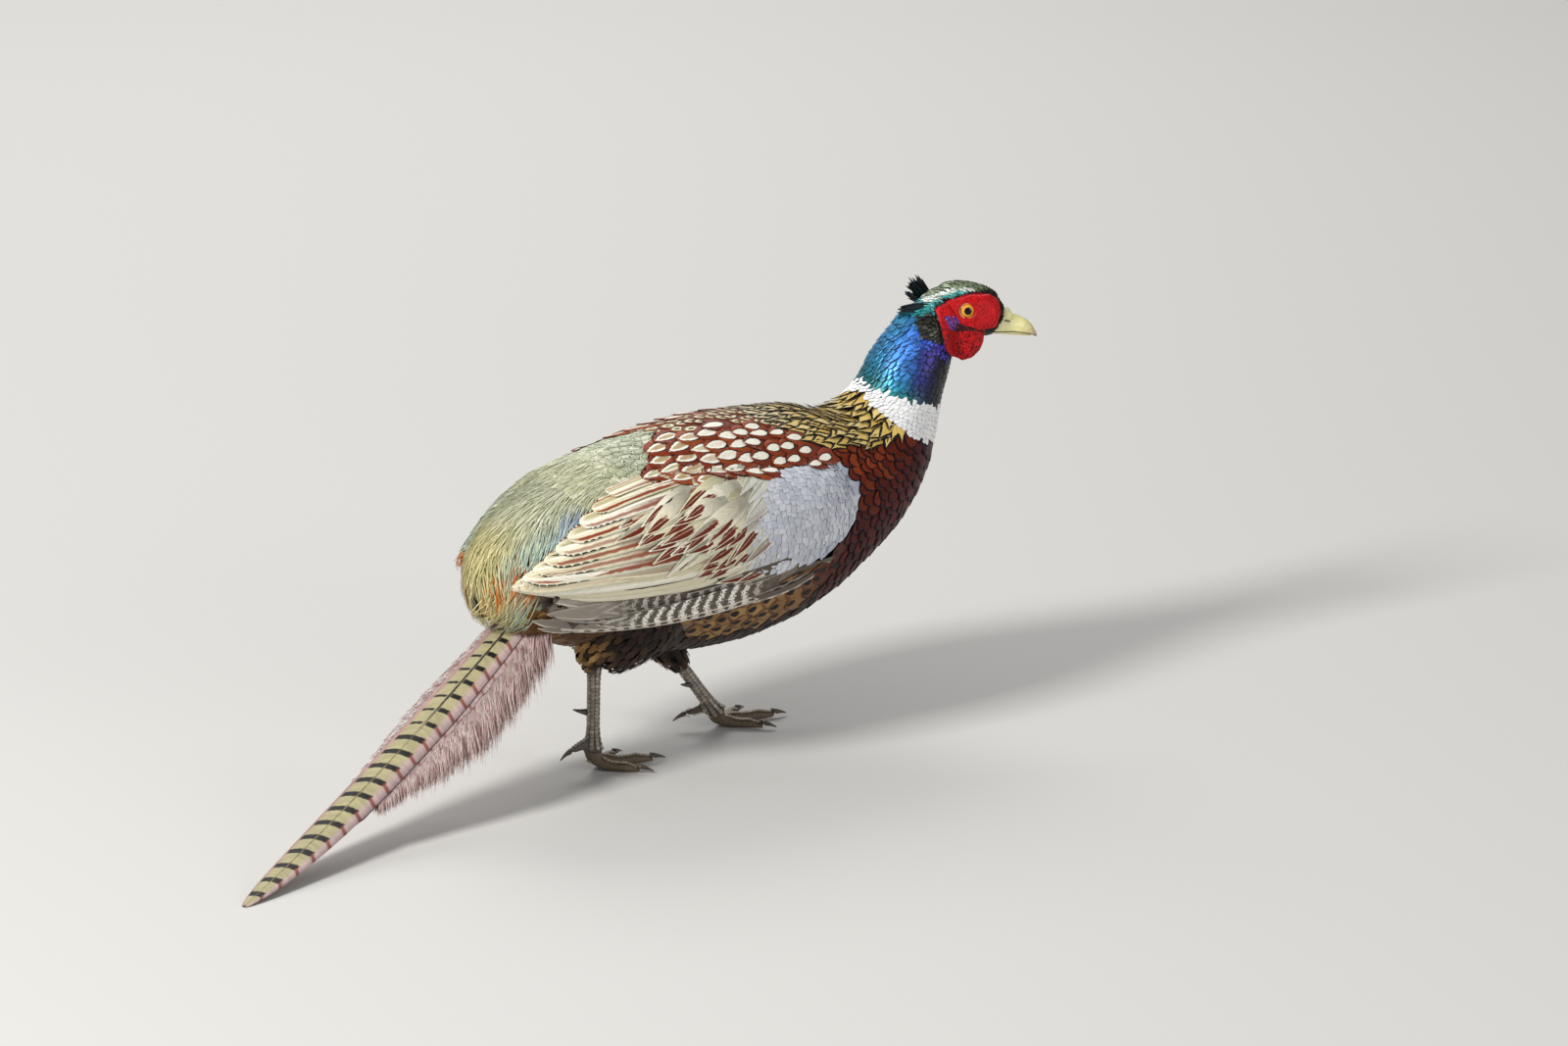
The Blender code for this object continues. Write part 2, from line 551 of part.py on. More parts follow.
def build_foot(leg, shank, root, looks):
    place = (leg.foot.x, leg.foot.y, 0)
    frame = add_empty("foot_" + leg.side, root, place, (0, 0, math.radians(leg.heading)))
    mirror = 1 if leg.side == "right" else -1
    turns = [toe.turn * mirror for toe in TOES]
    for toe, turn in zip(TOES, turns):
        others = [other for other in turns if other != turn]
        name = f"{toe.name}_{leg.side}"
        made = build_toe("toe_" + name, toe, leg.foot.z, others, frame, turn, looks["leg"])
        spot = Matrix.Rotation(math.radians(turn), 3, "Z") @ Vector((toe.length - CLAW_INSET, 0, CLAW_HEIGHT))
        claw = build_claw("claw_" + name, spot, frame, looks["horn"], math.radians(turn), CLAW_DROP)
        flatten_sole(claw)
        carve(claw, made)
    turn = math.radians(180 + HALLUX_TURN * mirror)
    start = leg.foot.lerp(leg.hock, HALLUX_PLACE) + Vector((0, 0, HALLUX_RAISE)) - Vector(place)
    start = Matrix.Rotation(-math.radians(leg.heading), 3, "Z") @ start
    way = Vector((math.cos(turn), math.sin(turn), 0))
    tip = way * HALLUX_LENGTH - Vector((0, 0, HALLUX_DROP))
    path = along([Vector(), tip / 2, tip], len(HALLUX_RADII))
    hallux = add_object("toe_hind_" + leg.side, tube(path, HALLUX_RADII, SLIM), looks["leg"], frame, start)
    spot = start + tip - way * HIND_CLAW_INSET + Vector((0, 0, HIND_CLAW_HEIGHT))
    claw = build_claw("claw_hind_" + leg.side, spot, frame, looks["horn"], turn, HIND_CLAW_DROP)
    carve(hallux, shank)
    carve(claw, hallux)


def build_spur(leg, shank, parent, look):
    """The cock's spur, on the inner rear of the shank."""
    turn = math.radians(leg.heading + 180)
    inward = SPUR_INWARD if leg.side == "right" else -SPUR_INWARD
    way = Vector((math.cos(turn), math.sin(turn) + inward, 0)).normalized()
    path = [way * SPUR_LENGTH * t + Vector((0, 0, SPUR_RISE * t**2)) for t in shares(SPUR_RINGS)]
    radii = [SPUR_RADIUS * (1 - CLAW_TAPER * t) for t in shares(SPUR_RINGS)]
    place = leg.foot.lerp(leg.hock, SPUR_PLACE)
    spur = add_object("spur_" + leg.side, tube(path, radii, TINY), look, parent, place)
    carve(spur, shank)


def centre_on_floor(root):
    """Moves the bird so that the origin is the middle of its box, on the floor."""
    bpy.context.view_layer.update()
    pieces = [thing for thing in bpy.data.objects if thing.type == "MESH" and not thing.hide_render]
    corners = [piece.matrix_world @ vert.co for piece in pieces for vert in piece.data.vertices]
    middle = [(min(c[i] for c in corners) + max(c[i] for c in corners)) / 2 for i in (0, 1)]
    root.location = (-middle[0], -middle[1], 0.0)


def main():
    clear_scene()
    looks = {
        "plumage": material("body_feathers", (0.35, 0.14, 0.05), 0.6),
        "neck": material("neck_feathers", (0.03, 0.10, 0.30), 0.4, 0.4),
        "wing": material("wing_feathers", (0.62, 0.60, 0.58), 0.6),
        "primaries": material("flight_feathers", (0.40, 0.36, 0.30), 0.55),
        "tail": material("tail_feathers", (0.48, 0.42, 0.25), 0.6),
        "thigh": material("thigh_feathers", (0.22, 0.15, 0.08), 0.8),
        "red": material("red_face_skin", (0.70, 0.02, 0.02), 0.5),
        "bill": material("bill_horn", (0.80, 0.74, 0.48), 0.4),
        "eye": material("eye", (0.70, 0.32, 0.05), 0.1),
        "leg": material("leg_scales", (0.45, 0.44, 0.42), 0.6),
        "horn": material("claw_horn", (0.12, 0.10, 0.08), 0.4),
    }
    root = add_empty("pheasant")
    turn = (0, math.radians(HEAD_PITCH), math.radians(HEAD_YAW))
    head_frame = add_empty("head_frame", root, HEAD_PLACE, turn)

    trunk, neck = build_trunk_and_neck(root, looks)
    rings = [body_ring(row, sides=HEAD_SIDES) for row in smooth(HEAD, HEAD_RINGS)]
    head = add_object("head", loft(rings), looks["neck"], head_frame)
    upper, lower = build_bill(head_frame, looks["bill"])
    tufts, wattles, eyes = [], [], []
    for side, sign in (("right", -1), ("left", 1)):
        tufts.append(build_ear_tuft(side, head_frame, looks["neck"]))
        wattles.append(build_wattle(side, sign, head_frame, looks["red"]))
        eyes.append(build_eye(side, sign, head_frame, looks["eye"]))
    for wattle, eye in zip(wattles, eyes):
        carve(wattle, eye)
    carve(head, *eyes, *wattles, upper, lower)
    carve(neck, head, *wattles, lower)
    for tuft, wattle in zip(tufts, wattles):
        carve(tuft, head, neck, wattle)

    wings = []
    for side, sign in (("right", -1), ("left", 1)):
        wing = build_band("wing_" + side, WING, WING_RINGS, WING_POINTS, sign, root, looks["wing"])
        primaries = build_band(
            "primaries_" + side, PRIMARIES, PRIMARIES_RINGS, PRIMARIES_POINTS, sign, root, looks["primaries"]
        )
        carve(primaries, wing)
        wings.append((wing, primaries))
    thighs = [build_thigh(leg, root, looks["thigh"]) for leg in LEGS]
    for thigh, pair in zip(thighs, wings):
        carve(thigh, *pair)
    for pair in wings:
        carve(trunk, *pair)
    carve(trunk, *thighs)

    tail = build_tail(root, looks["tail"])
    for piece in tail[1:]:
        carve(piece, tail[0])
    for piece in tail:
        carve(piece, trunk)
        flatten_sole(piece)
    for leg, thigh in zip(LEGS, thighs):
        shank = build_shank(leg, root, looks["leg"])
        carve(shank, thigh, trunk)
        build_foot(leg, shank, root, looks)
        build_spur(leg, shank, root, looks["horn"])
    centre_on_floor(root)


main()
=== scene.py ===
import math

import bmesh
import bpy
import numpy as np
from mathutils import Matrix, Vector, noise
from mathutils.bvhtree import BVHTree
from mathutils.kdtree import KDTree


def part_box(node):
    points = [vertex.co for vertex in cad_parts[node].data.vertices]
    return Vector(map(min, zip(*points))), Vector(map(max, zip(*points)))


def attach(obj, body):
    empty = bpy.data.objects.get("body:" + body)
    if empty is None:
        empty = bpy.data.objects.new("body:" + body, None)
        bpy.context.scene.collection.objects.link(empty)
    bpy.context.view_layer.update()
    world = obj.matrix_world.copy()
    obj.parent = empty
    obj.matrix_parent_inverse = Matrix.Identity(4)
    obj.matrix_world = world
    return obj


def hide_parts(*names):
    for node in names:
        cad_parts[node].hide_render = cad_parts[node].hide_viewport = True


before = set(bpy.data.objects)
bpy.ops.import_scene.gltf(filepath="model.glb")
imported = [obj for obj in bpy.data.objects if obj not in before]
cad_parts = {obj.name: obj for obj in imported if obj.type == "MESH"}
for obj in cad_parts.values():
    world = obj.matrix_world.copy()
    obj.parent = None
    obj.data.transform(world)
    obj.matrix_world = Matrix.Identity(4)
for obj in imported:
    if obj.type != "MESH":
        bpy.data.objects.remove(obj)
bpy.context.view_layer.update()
dice = np.random.default_rng(11)
mm = 0.001
shift = np.array((0.055025, 0.013502, 0.0))  # from the part's own origin to the middle of its box


def linear(code):
    channels = [int(code[i:i + 2], 16) / 255 for i in (1, 3, 5)]
    return tuple(c / 12.92 if c <= 0.04045 else ((c + 0.055) / 1.055) ** 2.4 for c in channels) + (1.0,)


def shades(share, *codes, at=None):
    # colours for an array of shares, run together between codes that are evenly spaced or at given places
    places = np.linspace(0, 1, len(codes)) if at is None else at
    colours = np.array([linear(code)[:3] for code in codes])
    return np.stack([np.interp(share, places, colours[:, i]) for i in range(3)], axis=-1)


def mixed(first, second, share):
    # the second may be one colour's code
    if isinstance(second, str):
        second = np.array(linear(second)[:3])
    return first + (second - first) * np.clip(share, 0, 1)[..., None]


def smoothStep(low, high, value):
    share = np.clip((value - low) / (high - low), 0, 1)
    return share * share * (3 - 2 * share)


def unit(vectors):
    return vectors / np.maximum(np.linalg.norm(vectors, axis=-1, keepdims=True), 1e-9)


def add(tree, kind, *inputs, out=0, **settings):
    node = tree.nodes.new("ShaderNode" + kind)
    for key, value in settings.items():
        setattr(node, key, value)
    for place, value in enumerate(inputs):
        if isinstance(value, bpy.types.NodeSocket):
            tree.links.new(value, node.inputs[place])
        elif value is not None:
            node.inputs[place].default_value = value
    return node.outputs[out]


def newMaterial(name, surface):
    material = bpy.data.materials.new(name)
    material.use_nodes = True
    shader = material.node_tree.nodes["Principled BSDF"]
    for key, value in surface.items():
        shader.inputs[key].default_value = value
    return material, material.node_tree, shader


def lit(tree, colour, light):
    # a colour made lighter or darker by a factor
    return add(tree, "VectorMath", colour, add(tree, "CombineXYZ", light, light, light), operation="MULTIPLY")


def finishSurface(tree, shader, colour, height, strength, depth):
    # the colour, and a fine relief from a height
    tree.links.new(colour, shader.inputs["Base Color"])
    bump = add(tree, "Bump", strength, depth)
    tree.links.new(height, bump.node.inputs["Height"])
    tree.links.new(bump, shader.inputs["Normal"])
    return bump.node


def makeObject(name, bm, *materials):
    mesh = bpy.data.meshes.new(name)
    bm.to_mesh(mesh)
    bm.free()
    thing = bpy.data.objects.new(name, mesh)
    bpy.context.scene.collection.objects.link(thing)
    for material in materials:
        mesh.materials.append(material)
    return thing


def onBird(piece, slot, *nodes):
    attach(piece, "root")
    if nodes:
        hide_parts(*nodes)


def nodeMesh(*names):
    bm = bmesh.new()
    for name in names:
        bm.from_mesh(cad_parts[name].data)
    bmesh.ops.remove_doubles(bm, verts=bm.verts, dist=1e-5)
    return bm


def remeshed(name, bm, voxel, smoothing, *materials):
    thing = makeObject(name, bm)
    remesh = thing.modifiers.new("remesh", "REMESH")
    remesh.mode = "VOXEL"
    remesh.voxel_size = voxel
    bpy.context.view_layer.update()
    mesh = bpy.data.meshes.new_from_object(thing.evaluated_get(bpy.context.evaluated_depsgraph_get()))
    thing.modifiers.clear()
    thing.data = mesh
    bm = bmesh.new()
    bm.from_mesh(mesh)
    axes = dict(use_axis_x=True, use_axis_y=True, use_axis_z=True)
    for _ in range(smoothing):
        bmesh.ops.smooth_vert(bm, verts=bm.verts, factor=0.5, **axes)
    bm.to_mesh(mesh)
    bm.free()
    mesh.shade_smooth()
    for material in materials:
        mesh.materials.append(material)
    return thing


def pointArray(mesh, what="co"):
    values = np.empty(len(mesh.vertices) * 3)
    mesh.vertices.foreach_get(what, values)
    return values.reshape(-1, 3)


def groundOf(bm, voxel=2.4 * mm, smoothing=5):
    # the outer form of some nodes as one smooth closed surface, to lay feathers on
    thing = remeshed("ground", bm, voxel, smoothing)
    tree = BVHTree.FromObject(thing, bpy.context.evaluated_depsgraph_get())
    places, normals = pointArray(thing.data), pointArray(thing.data, "normal")
    bpy.data.objects.remove(thing)
    return dict(tree=tree, places=places, normals=normals)


def treeOf(places):
    tree = KDTree(len(places))
    for i, place in enumerate(places.tolist()):
        tree.insert(place, i)
    tree.balance()
    return tree


def scattered(places, spacing):
    # picks points that stay a spacing apart, in a seeded order
    tree = treeOf(places)
    spacing = np.broadcast_to(spacing, len(places))
    blocked = np.zeros(len(places), bool)
    kept = []
    for i in dice.permutation(len(places)):
        if not blocked[i]:
            kept.append(i)
            for found in tree.find_range(places[i], spacing[i]):
                blocked[found[1]] = True
    return np.array(kept)


def distances(tree, places):
    # how far each place is from a surface
    return np.array([tree.find_nearest(place)[3] for place in places.tolist()])


def surfaceTree(bm):
    tree = BVHTree.FromBMesh(bm)
    bm.free()
    return tree


# The head's own frame in millimetres: x to the bill, y to the bird's left, z up, from between the eyes.
headPlace = np.array((.2496, -.0134, .2535)) + shift
headAxes = np.array(Matrix.Rotation(math.radians(-32.5), 3, "Z") @ Matrix.Rotation(math.radians(12), 3, "Y"))


def inHead(places):
    return (np.asarray(places) - headPlace) @ headAxes / mm


def fromHead(places):
    return np.asarray(places) * mm @ headAxes.T + headPlace


def addBlob(bm, middle, radii):
    # an ellipsoid in the head's frame
    turned = Matrix.Translation(Vector(fromHead(middle))) @ Matrix(headAxes.tolist()).to_4x4()
    matrix = turned @ Matrix.Diagonal((*[radius * mm for radius in radii], 1))
    bmesh.ops.create_uvsphere(bm, u_segments=32, v_segments=16, radius=1, matrix=matrix)


def paint(mesh, name, values):
    # a colour for each point, read by the materials as an attribute
    layer = mesh.attributes.new(name, "FLOAT_COLOR", "POINT")
    rows = np.ones((len(values), 4))
    rows[:, :values.shape[1]] = values
    layer.data.foreach_set("color", rows.ravel())


# The camera sees the bird from its right, a little from behind and above.
view = dict(
    azimuth=-40, elevation=15, distance=6.0, sensor=36, pixelsPerMetre=1560, eyeAt=(986, 317),
    image=(1600, 1067),
)


def makeCamera():
    az, el = math.radians(view["azimuth"]), math.radians(view["elevation"])
    back = Vector((math.sin(az) * math.cos(el), -math.cos(az) * math.cos(el), math.sin(el)))
    right = Vector((math.cos(az), math.sin(az), 0))
    up = back.cross(right)
    low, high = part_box("eye_right")
    eye = (Vector(low) + Vector(high)) / 2
    offset = [(view["eyeAt"][i] - view["image"][i] / 2) / view["pixelsPerMetre"] for i in (0, 1)]
    aim = eye - right * offset[0] + up * offset[1]
    camera = bpy.data.objects.new("camera", bpy.data.cameras.new("camera"))
    bpy.context.scene.collection.objects.link(camera)
    camera.location = eye + back * view["distance"]
    camera.rotation_euler = (aim - camera.location).to_track_quat("-Z", "Y").to_euler()
    camera.data.sensor_width = view["sensor"]
    camera.data.lens = view["pixelsPerMetre"] * view["distance"] * view["sensor"] / view["image"][0]
    camera.data.clip_end = 100
    bpy.context.scene.camera = camera
    return right, back


cameraRight, cameraBack = makeCamera()

# Soft boxes for key, fill and rim, and a pale world.
studio = dict(
    floor="#cfccc6", floorSize=20, world="#e8ecf2", worldStrength=0.42, target=(0, 0, 0.12),
    # name, metres to the right of the camera's line, towards the camera and up, watts, size
    lamps=[("key", -2.4, 2.0, 2.4, 150, 0.9), ("fill", 2.6, 1.6, 1.0, 18, 1.0),
           ("rim", -0.5, -2.5, 2.2, 40, 1.5)],
)


def makeStudio():
    bpy.context.scene.view_settings.view_transform = "Standard"
    bm = bmesh.new()
    bmesh.ops.create_grid(bm, x_segments=1, y_segments=1, size=studio["floorSize"])
    surface = {"Roughness": 0.85, "Base Color": linear(studio["floor"])}
    makeObject("floor", bm, newMaterial("paintedFloor", surface)[0])
    world = bpy.data.worlds.new("studio")
    world.use_nodes = True
    background = world.node_tree.nodes["Background"].inputs
    background["Color"].default_value = linear(studio["world"])
    background["Strength"].default_value = studio["worldStrength"]
    bpy.context.scene.world = world
    towards = Vector((cameraBack.x, cameraBack.y, 0)).normalized()
    for name, side, ahead, height, power, size in studio["lamps"]:
        lamp = bpy.data.objects.new(name, bpy.data.lights.new(name, "AREA"))
        bpy.context.scene.collection.objects.link(lamp)
        lamp.data.energy = power
        lamp.data.size = size
        lamp.location = cameraRight * side + towards * ahead + Vector((0, 0, height))
        lamp.rotation_euler = (Vector(studio["target"]) - lamp.location).to_track_quat("-Z", "Y").to_euler()


makeStudio()
print("camera and studio")


# A chart of the body: s runs along the spine from the rump, turn goes round it
# (0 the bird's right, 90 its back, 180 its left, -90 its belly).
spine = dict(
    # x, y, z, pitch, yaw and rough radius
    stations=[
        (-.144, 0, .1255, 10, 0, .009), (-.135, 0, .1275, 14, 0, .028), (-.111, 0, .1305, 14, 0, .045),
        (-.070, 0, .1340, 12, 0, .062), (-.020, 0, .1370, 8, 0, .074), (.038, 0, .1370, 6, 0, .080),
        (.088, 0, .1395, 12, 0, .077), (.130, 0, .1480, 24, 0, .069), (.160, -.001, .1595, 40, 0, .061),
        (.1815, -.002, .1750, 58, 0, .045), (.1930, -.003, .1905, 68, -4, .033),
        (.2010, -.0045, .2055, 74, -10, .029), (.2080, -.007, .2220, 76, -18, .027),
        (.2165, -.0095, .2375, 68, -24, .024), (.2260, -.0105, .2500, 54, -30, .022),
        (.2350, -.0140, .2570, 40, -32, .020)],
    rows=260, columns=180, margin=0.012, spread=1.3, smoothing=2,
)
bodyGround = groundOf(nodeMesh("trunk", "neck", "head", "wing_right", "wing_left", "primaries_right",
                               "primaries_left"))


def spineLine():
    # a smooth curve through the stations
    rows = np.array(spine["stations"], float)
    rows[:, :3] += shift
    share = np.linspace(0, len(rows) - 1, spine["rows"])
    i = np.minimum(share.astype(int), len(rows) - 2)
    t = (share - i)[:, None]
    a, b, c, d = (rows[np.clip(i + k, 0, len(rows) - 1)] for k in (-1, 0, 1, 2))
    curve = 2 * b + (c - a) * t + (2 * a - 5 * b + 4 * c - d) * t * t + (3 * b - a - 3 * c + d) * t ** 3
    return 0.5 * curve


def makeChart():
    line = spineLine()
    pitch, yaw = np.radians(line[:, 3]), np.radians(line[:, 4])
    forward = np.stack([np.cos(pitch) * np.cos(yaw), np.cos(pitch) * np.sin(yaw), np.sin(pitch)], 1)
    left = np.stack([-np.sin(yaw), np.cos(yaw), np.zeros(len(yaw))], 1)
    up = np.cross(forward, left)
    turns = np.radians(np.arange(spine["columns"]) * 360 / spine["columns"] - 90)
    outward = -left[:, None] * np.cos(turns)[None, :, None] + up[:, None] * np.sin(turns)[None, :, None]
    surface = np.empty_like(outward)
    for k in range(len(line)):
        centre = Vector(line[k, :3])
        reach = line[k, 5] * spine["spread"] + spine["margin"]
        for j in range(len(turns)):
            way = Vector(outward[k, j])
            hit = bodyGround["tree"].ray_cast(centre + way * reach, -way, reach)[0]
            surface[k, j] = hit if hit else centre + way * line[k, 5] * 0.5
    for _ in range(spine["smoothing"]):
        surface[1:-1] = (surface[:-2] + 2 * surface[1:-1] + surface[2:]) / 4
        surface = (np.roll(surface, 1, 1) + 2 * surface + np.roll(surface, -1, 1)) / 4
    lengths = np.concatenate([[0], np.cumsum(np.linalg.norm(np.diff(line[:, :3], axis=0), axis=1))])
    girth = np.linalg.norm(np.roll(surface, -1, 1) - surface, axis=2).sum(1)
    backward = -unit(np.gradient(surface, axis=0))
    around = unit(np.roll(surface, -1, 1) - np.roll(surface, 1, 1))
    normal = unit(np.cross(around, backward))
    facing = np.sign((normal * outward).sum(2, keepdims=True))
    return lengths, girth, (surface, backward, around, normal * facing)


spineLengths, girths, chart = makeChart()


def onBody(s, turn):
    # places on the body and their directions back, round and outward, for arrays of s and turn
    row = np.clip(np.interp(s, spineLengths, np.arange(spine["rows"])), 0, spine["rows"] - 1.001)
    column = ((turn + 90) % 360) * spine["columns"] / 360
    i, j = row.astype(int), column.astype(int) % spine["columns"]
    p, q = (row - i)[..., None], (column - column.astype(int))[..., None]
    k = (j + 1) % spine["columns"]
    found = []
    for grid in chart:
        here = grid[i, j] * (1 - q) + grid[i, k] * q
        ahead = grid[i + 1, j] * (1 - q) + grid[i + 1, k] * q
        found.append(here * (1 - p) + ahead * p)
    return [found[0]] + [unit(grid) for grid in found[1:]]


def mirrorTurn(turn):
    # the left side carries the right side's marks
    turn = (turn + 90) % 360 - 90
    return np.where(turn > 90, 180 - turn, turn)


def within(outline, s, turn):
    inside = np.zeros(len(s), bool)
    for (s0, t0), (s1, t1) in zip(outline, outline[1:] + outline[:1]):
        crosses = (t0 > turn) != (t1 > turn)
        with np.errstate(divide="ignore", invalid="ignore"):
            at = s0 + (turn - t0) * (s1 - s0) / (t1 - t0)
        inside ^= crosses & (s < at)
    return inside


def lattice(across, along, sRange, jitter):
    # staggered rows of places, as feathers grow
    spots = []
    for number, s in enumerate(np.arange(sRange[0], sRange[1], along)):
        girth = np.interp(s, spineLengths, girths)
        count = max(6, int(round(girth / across)))
        turn = (np.arange(count) + 0.5 * (number % 2)) * 360 / count - 90
        spots.append(np.stack([np.full(count, s), turn], 1))
    spots = np.concatenate(spots)
    girth = np.interp(spots[:, 0], spineLengths, girths)
    luck = dice.normal(0, jitter, spots.shape)
    return spots[:, 0] + luck[:, 0] * along, spots[:, 1] + luck[:, 1] * across * 360 / girth


# Vane outlines: where the rows of points lie, points across, where the tip starts to round and how,
# and the root's share of the width.
vaneShapes = dict(
    round=dict(rows=[0, .28, .48, .64, .77, .88, .96, 1], columns=5, shoulder=.5, ends=(2.0, 2.0), root=.5),
    pointed=dict(rows=[0, .2, .38, .54, .68, .8, .91, 1], columns=5, shoulder=.3, ends=(1.5, 1.15), root=.5),
    long=dict(rows=[*np.linspace(0, .86, 17), .9, .94, .975, 1], columns=7, shoulder=.82, ends=(1.8, 1.6),
              root=.55),
    tail=dict(rows=[*np.linspace(0, .95, 44), .97, .985, 1], columns=7, shoulder=.42, ends=(2.5, 1.9),
              root=.75),
    small=dict(rows=[0, .45, .75, .93, 1], columns=3, shoulder=.45, ends=(2.0, 2.0), root=.5),
    strand=dict(rows=[0, .25, .5, .75, 1], columns=3, shoulder=.1, ends=(1.4, 1.1), root=.8),
    shield=dict(rows=[0, .35, .65, .85, 1], columns=5, shoulder=.45, ends=(2.4, 2.4), root=.8),
)

softVane = {"Roughness": 0.62, "Specular IOR Level": 0.22, "Sheen Weight": 0.08, "Sheen Roughness": 0.45}
glossyVane = {"Roughness": 0.4, "Metallic": 0.35, "Specular IOR Level": 0.5, "Coat Weight": 0.1,
              "Coat Roughness": 0.3}

# What holds for feathers unless their own dictionary says otherwise. lift is the height at root and tip,
# settle how far a raised feather's root stays down, even how far light falls on feathers as on one surface.
plainVane = dict(
    shape="round", slot="body_feathers", surface=softVane, marks=[], patch=(.003, .003),
    fray=0, loose=0, settle=0, even=.5, camber=.2 * mm, tilt=.12 * mm, uneven=.05 * mm, thick=.14 * mm,
    # the darkness at a feather's root is painted shade, from the feathers that lie over it
    ragged=.25, raggedSize=1.3 * mm, rootShade=.45, bump=.35,
)
floorGap = .4 * mm
skinPaintedShade = .5  # painted shade: how much darker the skin is drawn than the feathers that grow there, as if in their shadow
rootMarks = []  # where feathers grow, and the skin's colour there with its painted shade


def oval(centre, size, soft, colour, low=-1, high=1, **more):
    return dict(kind="oval", centre=centre, size=size, low=low, high=high, soft=soft, colour=colour, **more)


def band(kind, low, high, soft, colour, **more):
    # kind is side, across or along for a place on the vane, or slant or bars
    return dict(kind=kind, low=low, high=high, soft=soft, colour=colour, **more)


def window(tree, field, low, high, soft):
    # 1 where a field lies between two values
    rising = add(tree, "MapRange", field, low - soft, low + soft, 0.0, 1.0)
    falling = add(tree, "MapRange", field, high - soft, high + soft, 1.0, 0.0)
    return add(tree, "Math", rising, falling, operation="MULTIPLY")


def markField(tree, mark, axes):
    # the value that a mark is drawn from, over the vane
    side, across, along = axes["plain"], axes["across"], axes["along"]
    if mark["kind"] == "oval":
        wide = add(tree, "Math", mark.get("shift", 0.0), side, operation="SUBTRACT")
        wide = add(tree, "Math", wide, 1 / mark["size"][0], operation="MULTIPLY")
        tall = add(tree, "Math", along, mark["centre"], operation="SUBTRACT")
        tall = add(tree, "Math", tall, 1 / mark["size"][1], operation="MULTIPLY")
        return add(tree, "VectorMath", add(tree, "CombineXYZ", wide, tall, 0.0), out=1, operation="LENGTH")
    if mark["kind"] == "slant":
        return add(tree, "Math", across, mark["slope"], along, operation="MULTIPLY_ADD")
    if mark["kind"] == "bars":
        field = add(tree, "Math", along, mark["count"], mark.get("start", 0.0), operation="MULTIPLY_ADD")
        field = add(tree, "Math", across, mark.get("slope", 0.0), field, operation="MULTIPLY_ADD")
        return add(tree, "Math", field, 0.5, operation="PINGPONG")
    return axes[mark["kind"]]


def vaneMaterial(name, look):
    # keratin barbs: a soft sheen, fine slanting lines, painted shade towards the root where the feathers over
    # it lie, and the marks of the tract
    material, tree, shader = newMaterial(name, look["surface"])
    spot = add(tree, "SeparateXYZ", add(tree, "UVMap", uv_map="vane"))
    alongVane = spot.node.outputs[1]
    side = add(tree, "Math", spot, 2.0, -1.0, operation="MULTIPLY_ADD")
    fromShaft = add(tree, "Math", side, operation="ABSOLUTE")
    torn = add(tree, "TexNoise", add(tree, "TexCoord", out=3), None, 1 / look["raggedSize"], 2.0)
    shake = add(tree, "Math", torn, look["ragged"], -look["ragged"] / 2, operation="MULTIPLY_ADD")
    axes = dict(plain=side)
    for key, axis in (("side", side), ("across", fromShaft), ("along", alongVane)):
        axes[key] = add(tree, "Math", axis, shake, operation="ADD")
    lot = add(tree, "SeparateColor", add(tree, "Attribute", attribute_name="lot"))
    colour = add(tree, "Attribute", attribute_name="tint")
    for mark in look["marks"]:
        mask = window(tree, markField(tree, mark, axes), mark["low"], mark["high"], mark["soft"])
        for axis, start, end in mark.get("only", []):
            limit = window(tree, axes[axis], start, end, mark.get("onlySoft", 0.05))
            mask = add(tree, "Math", mask, limit, operation="MULTIPLY")
        if "lot" in mark:
            mask = add(tree, "Math", mask, lot.node.outputs[mark["lot"]], operation="MULTIPLY")
        mask = add(tree, "Math", mask, mark.get("strength", 1.0), operation="MULTIPLY")
        colour = add(tree, "MixRGB", mask, colour, linear(mark["colour"]))
    # barbs leave the shaft at a slant; their pitch here is about 1 mm, coarser than real so that it shows
    count, depth, slope = (*look["barbs"], -.3)[:3]
    slanted = add(tree, "Math", fromShaft, slope, alongVane, operation="MULTIPLY_ADD")
    slanted = add(tree, "Math", slanted, count, operation="MULTIPLY")
    cell = add(tree, "CombineXYZ", slanted, add(tree, "Math", side, 1.1, operation="MULTIPLY"),
               add(tree, "Math", lot, 37.0, operation="MULTIPLY"))
    streaks = add(tree, "TexNoise", cell, None, 1.0, 2.0)
    light = add(tree, "MapRange", streaks, 0.3, 0.7, 1 - depth, 1 + depth)
    # painted shade: the vane is drawn darker towards its root, as if in the shadow of the feathers above
    shadow = add(tree, "MapRange", alongVane, 0.1, 0.5, look["rootShade"], 1.0)
    light = add(tree, "Math", light, shadow, operation="MULTIPLY")
    finishSurface(tree, shader, lit(tree, colour, light), streaks, look["bump"], 0.25 * mm)
    return material


def draped(ground, rough, loose):
    # rough places brought to a ground, and left standing off it where they are loose
    found = [ground["tree"].find_nearest(place)[:2] for place in rough.reshape(-1, 3).tolist()]
    places = np.array([place[:] for place, normal in found]).reshape(rough.shape)
    normals = np.array([normal[:] for place, normal in found]).reshape(rough.shape)
    # the ground's facets turn into a smooth field along each feather
    normals = unit(normals + normals.mean(axis=(1, 2), keepdims=True))
    return places + (rough - places) * loose[None, :, None, None], normals


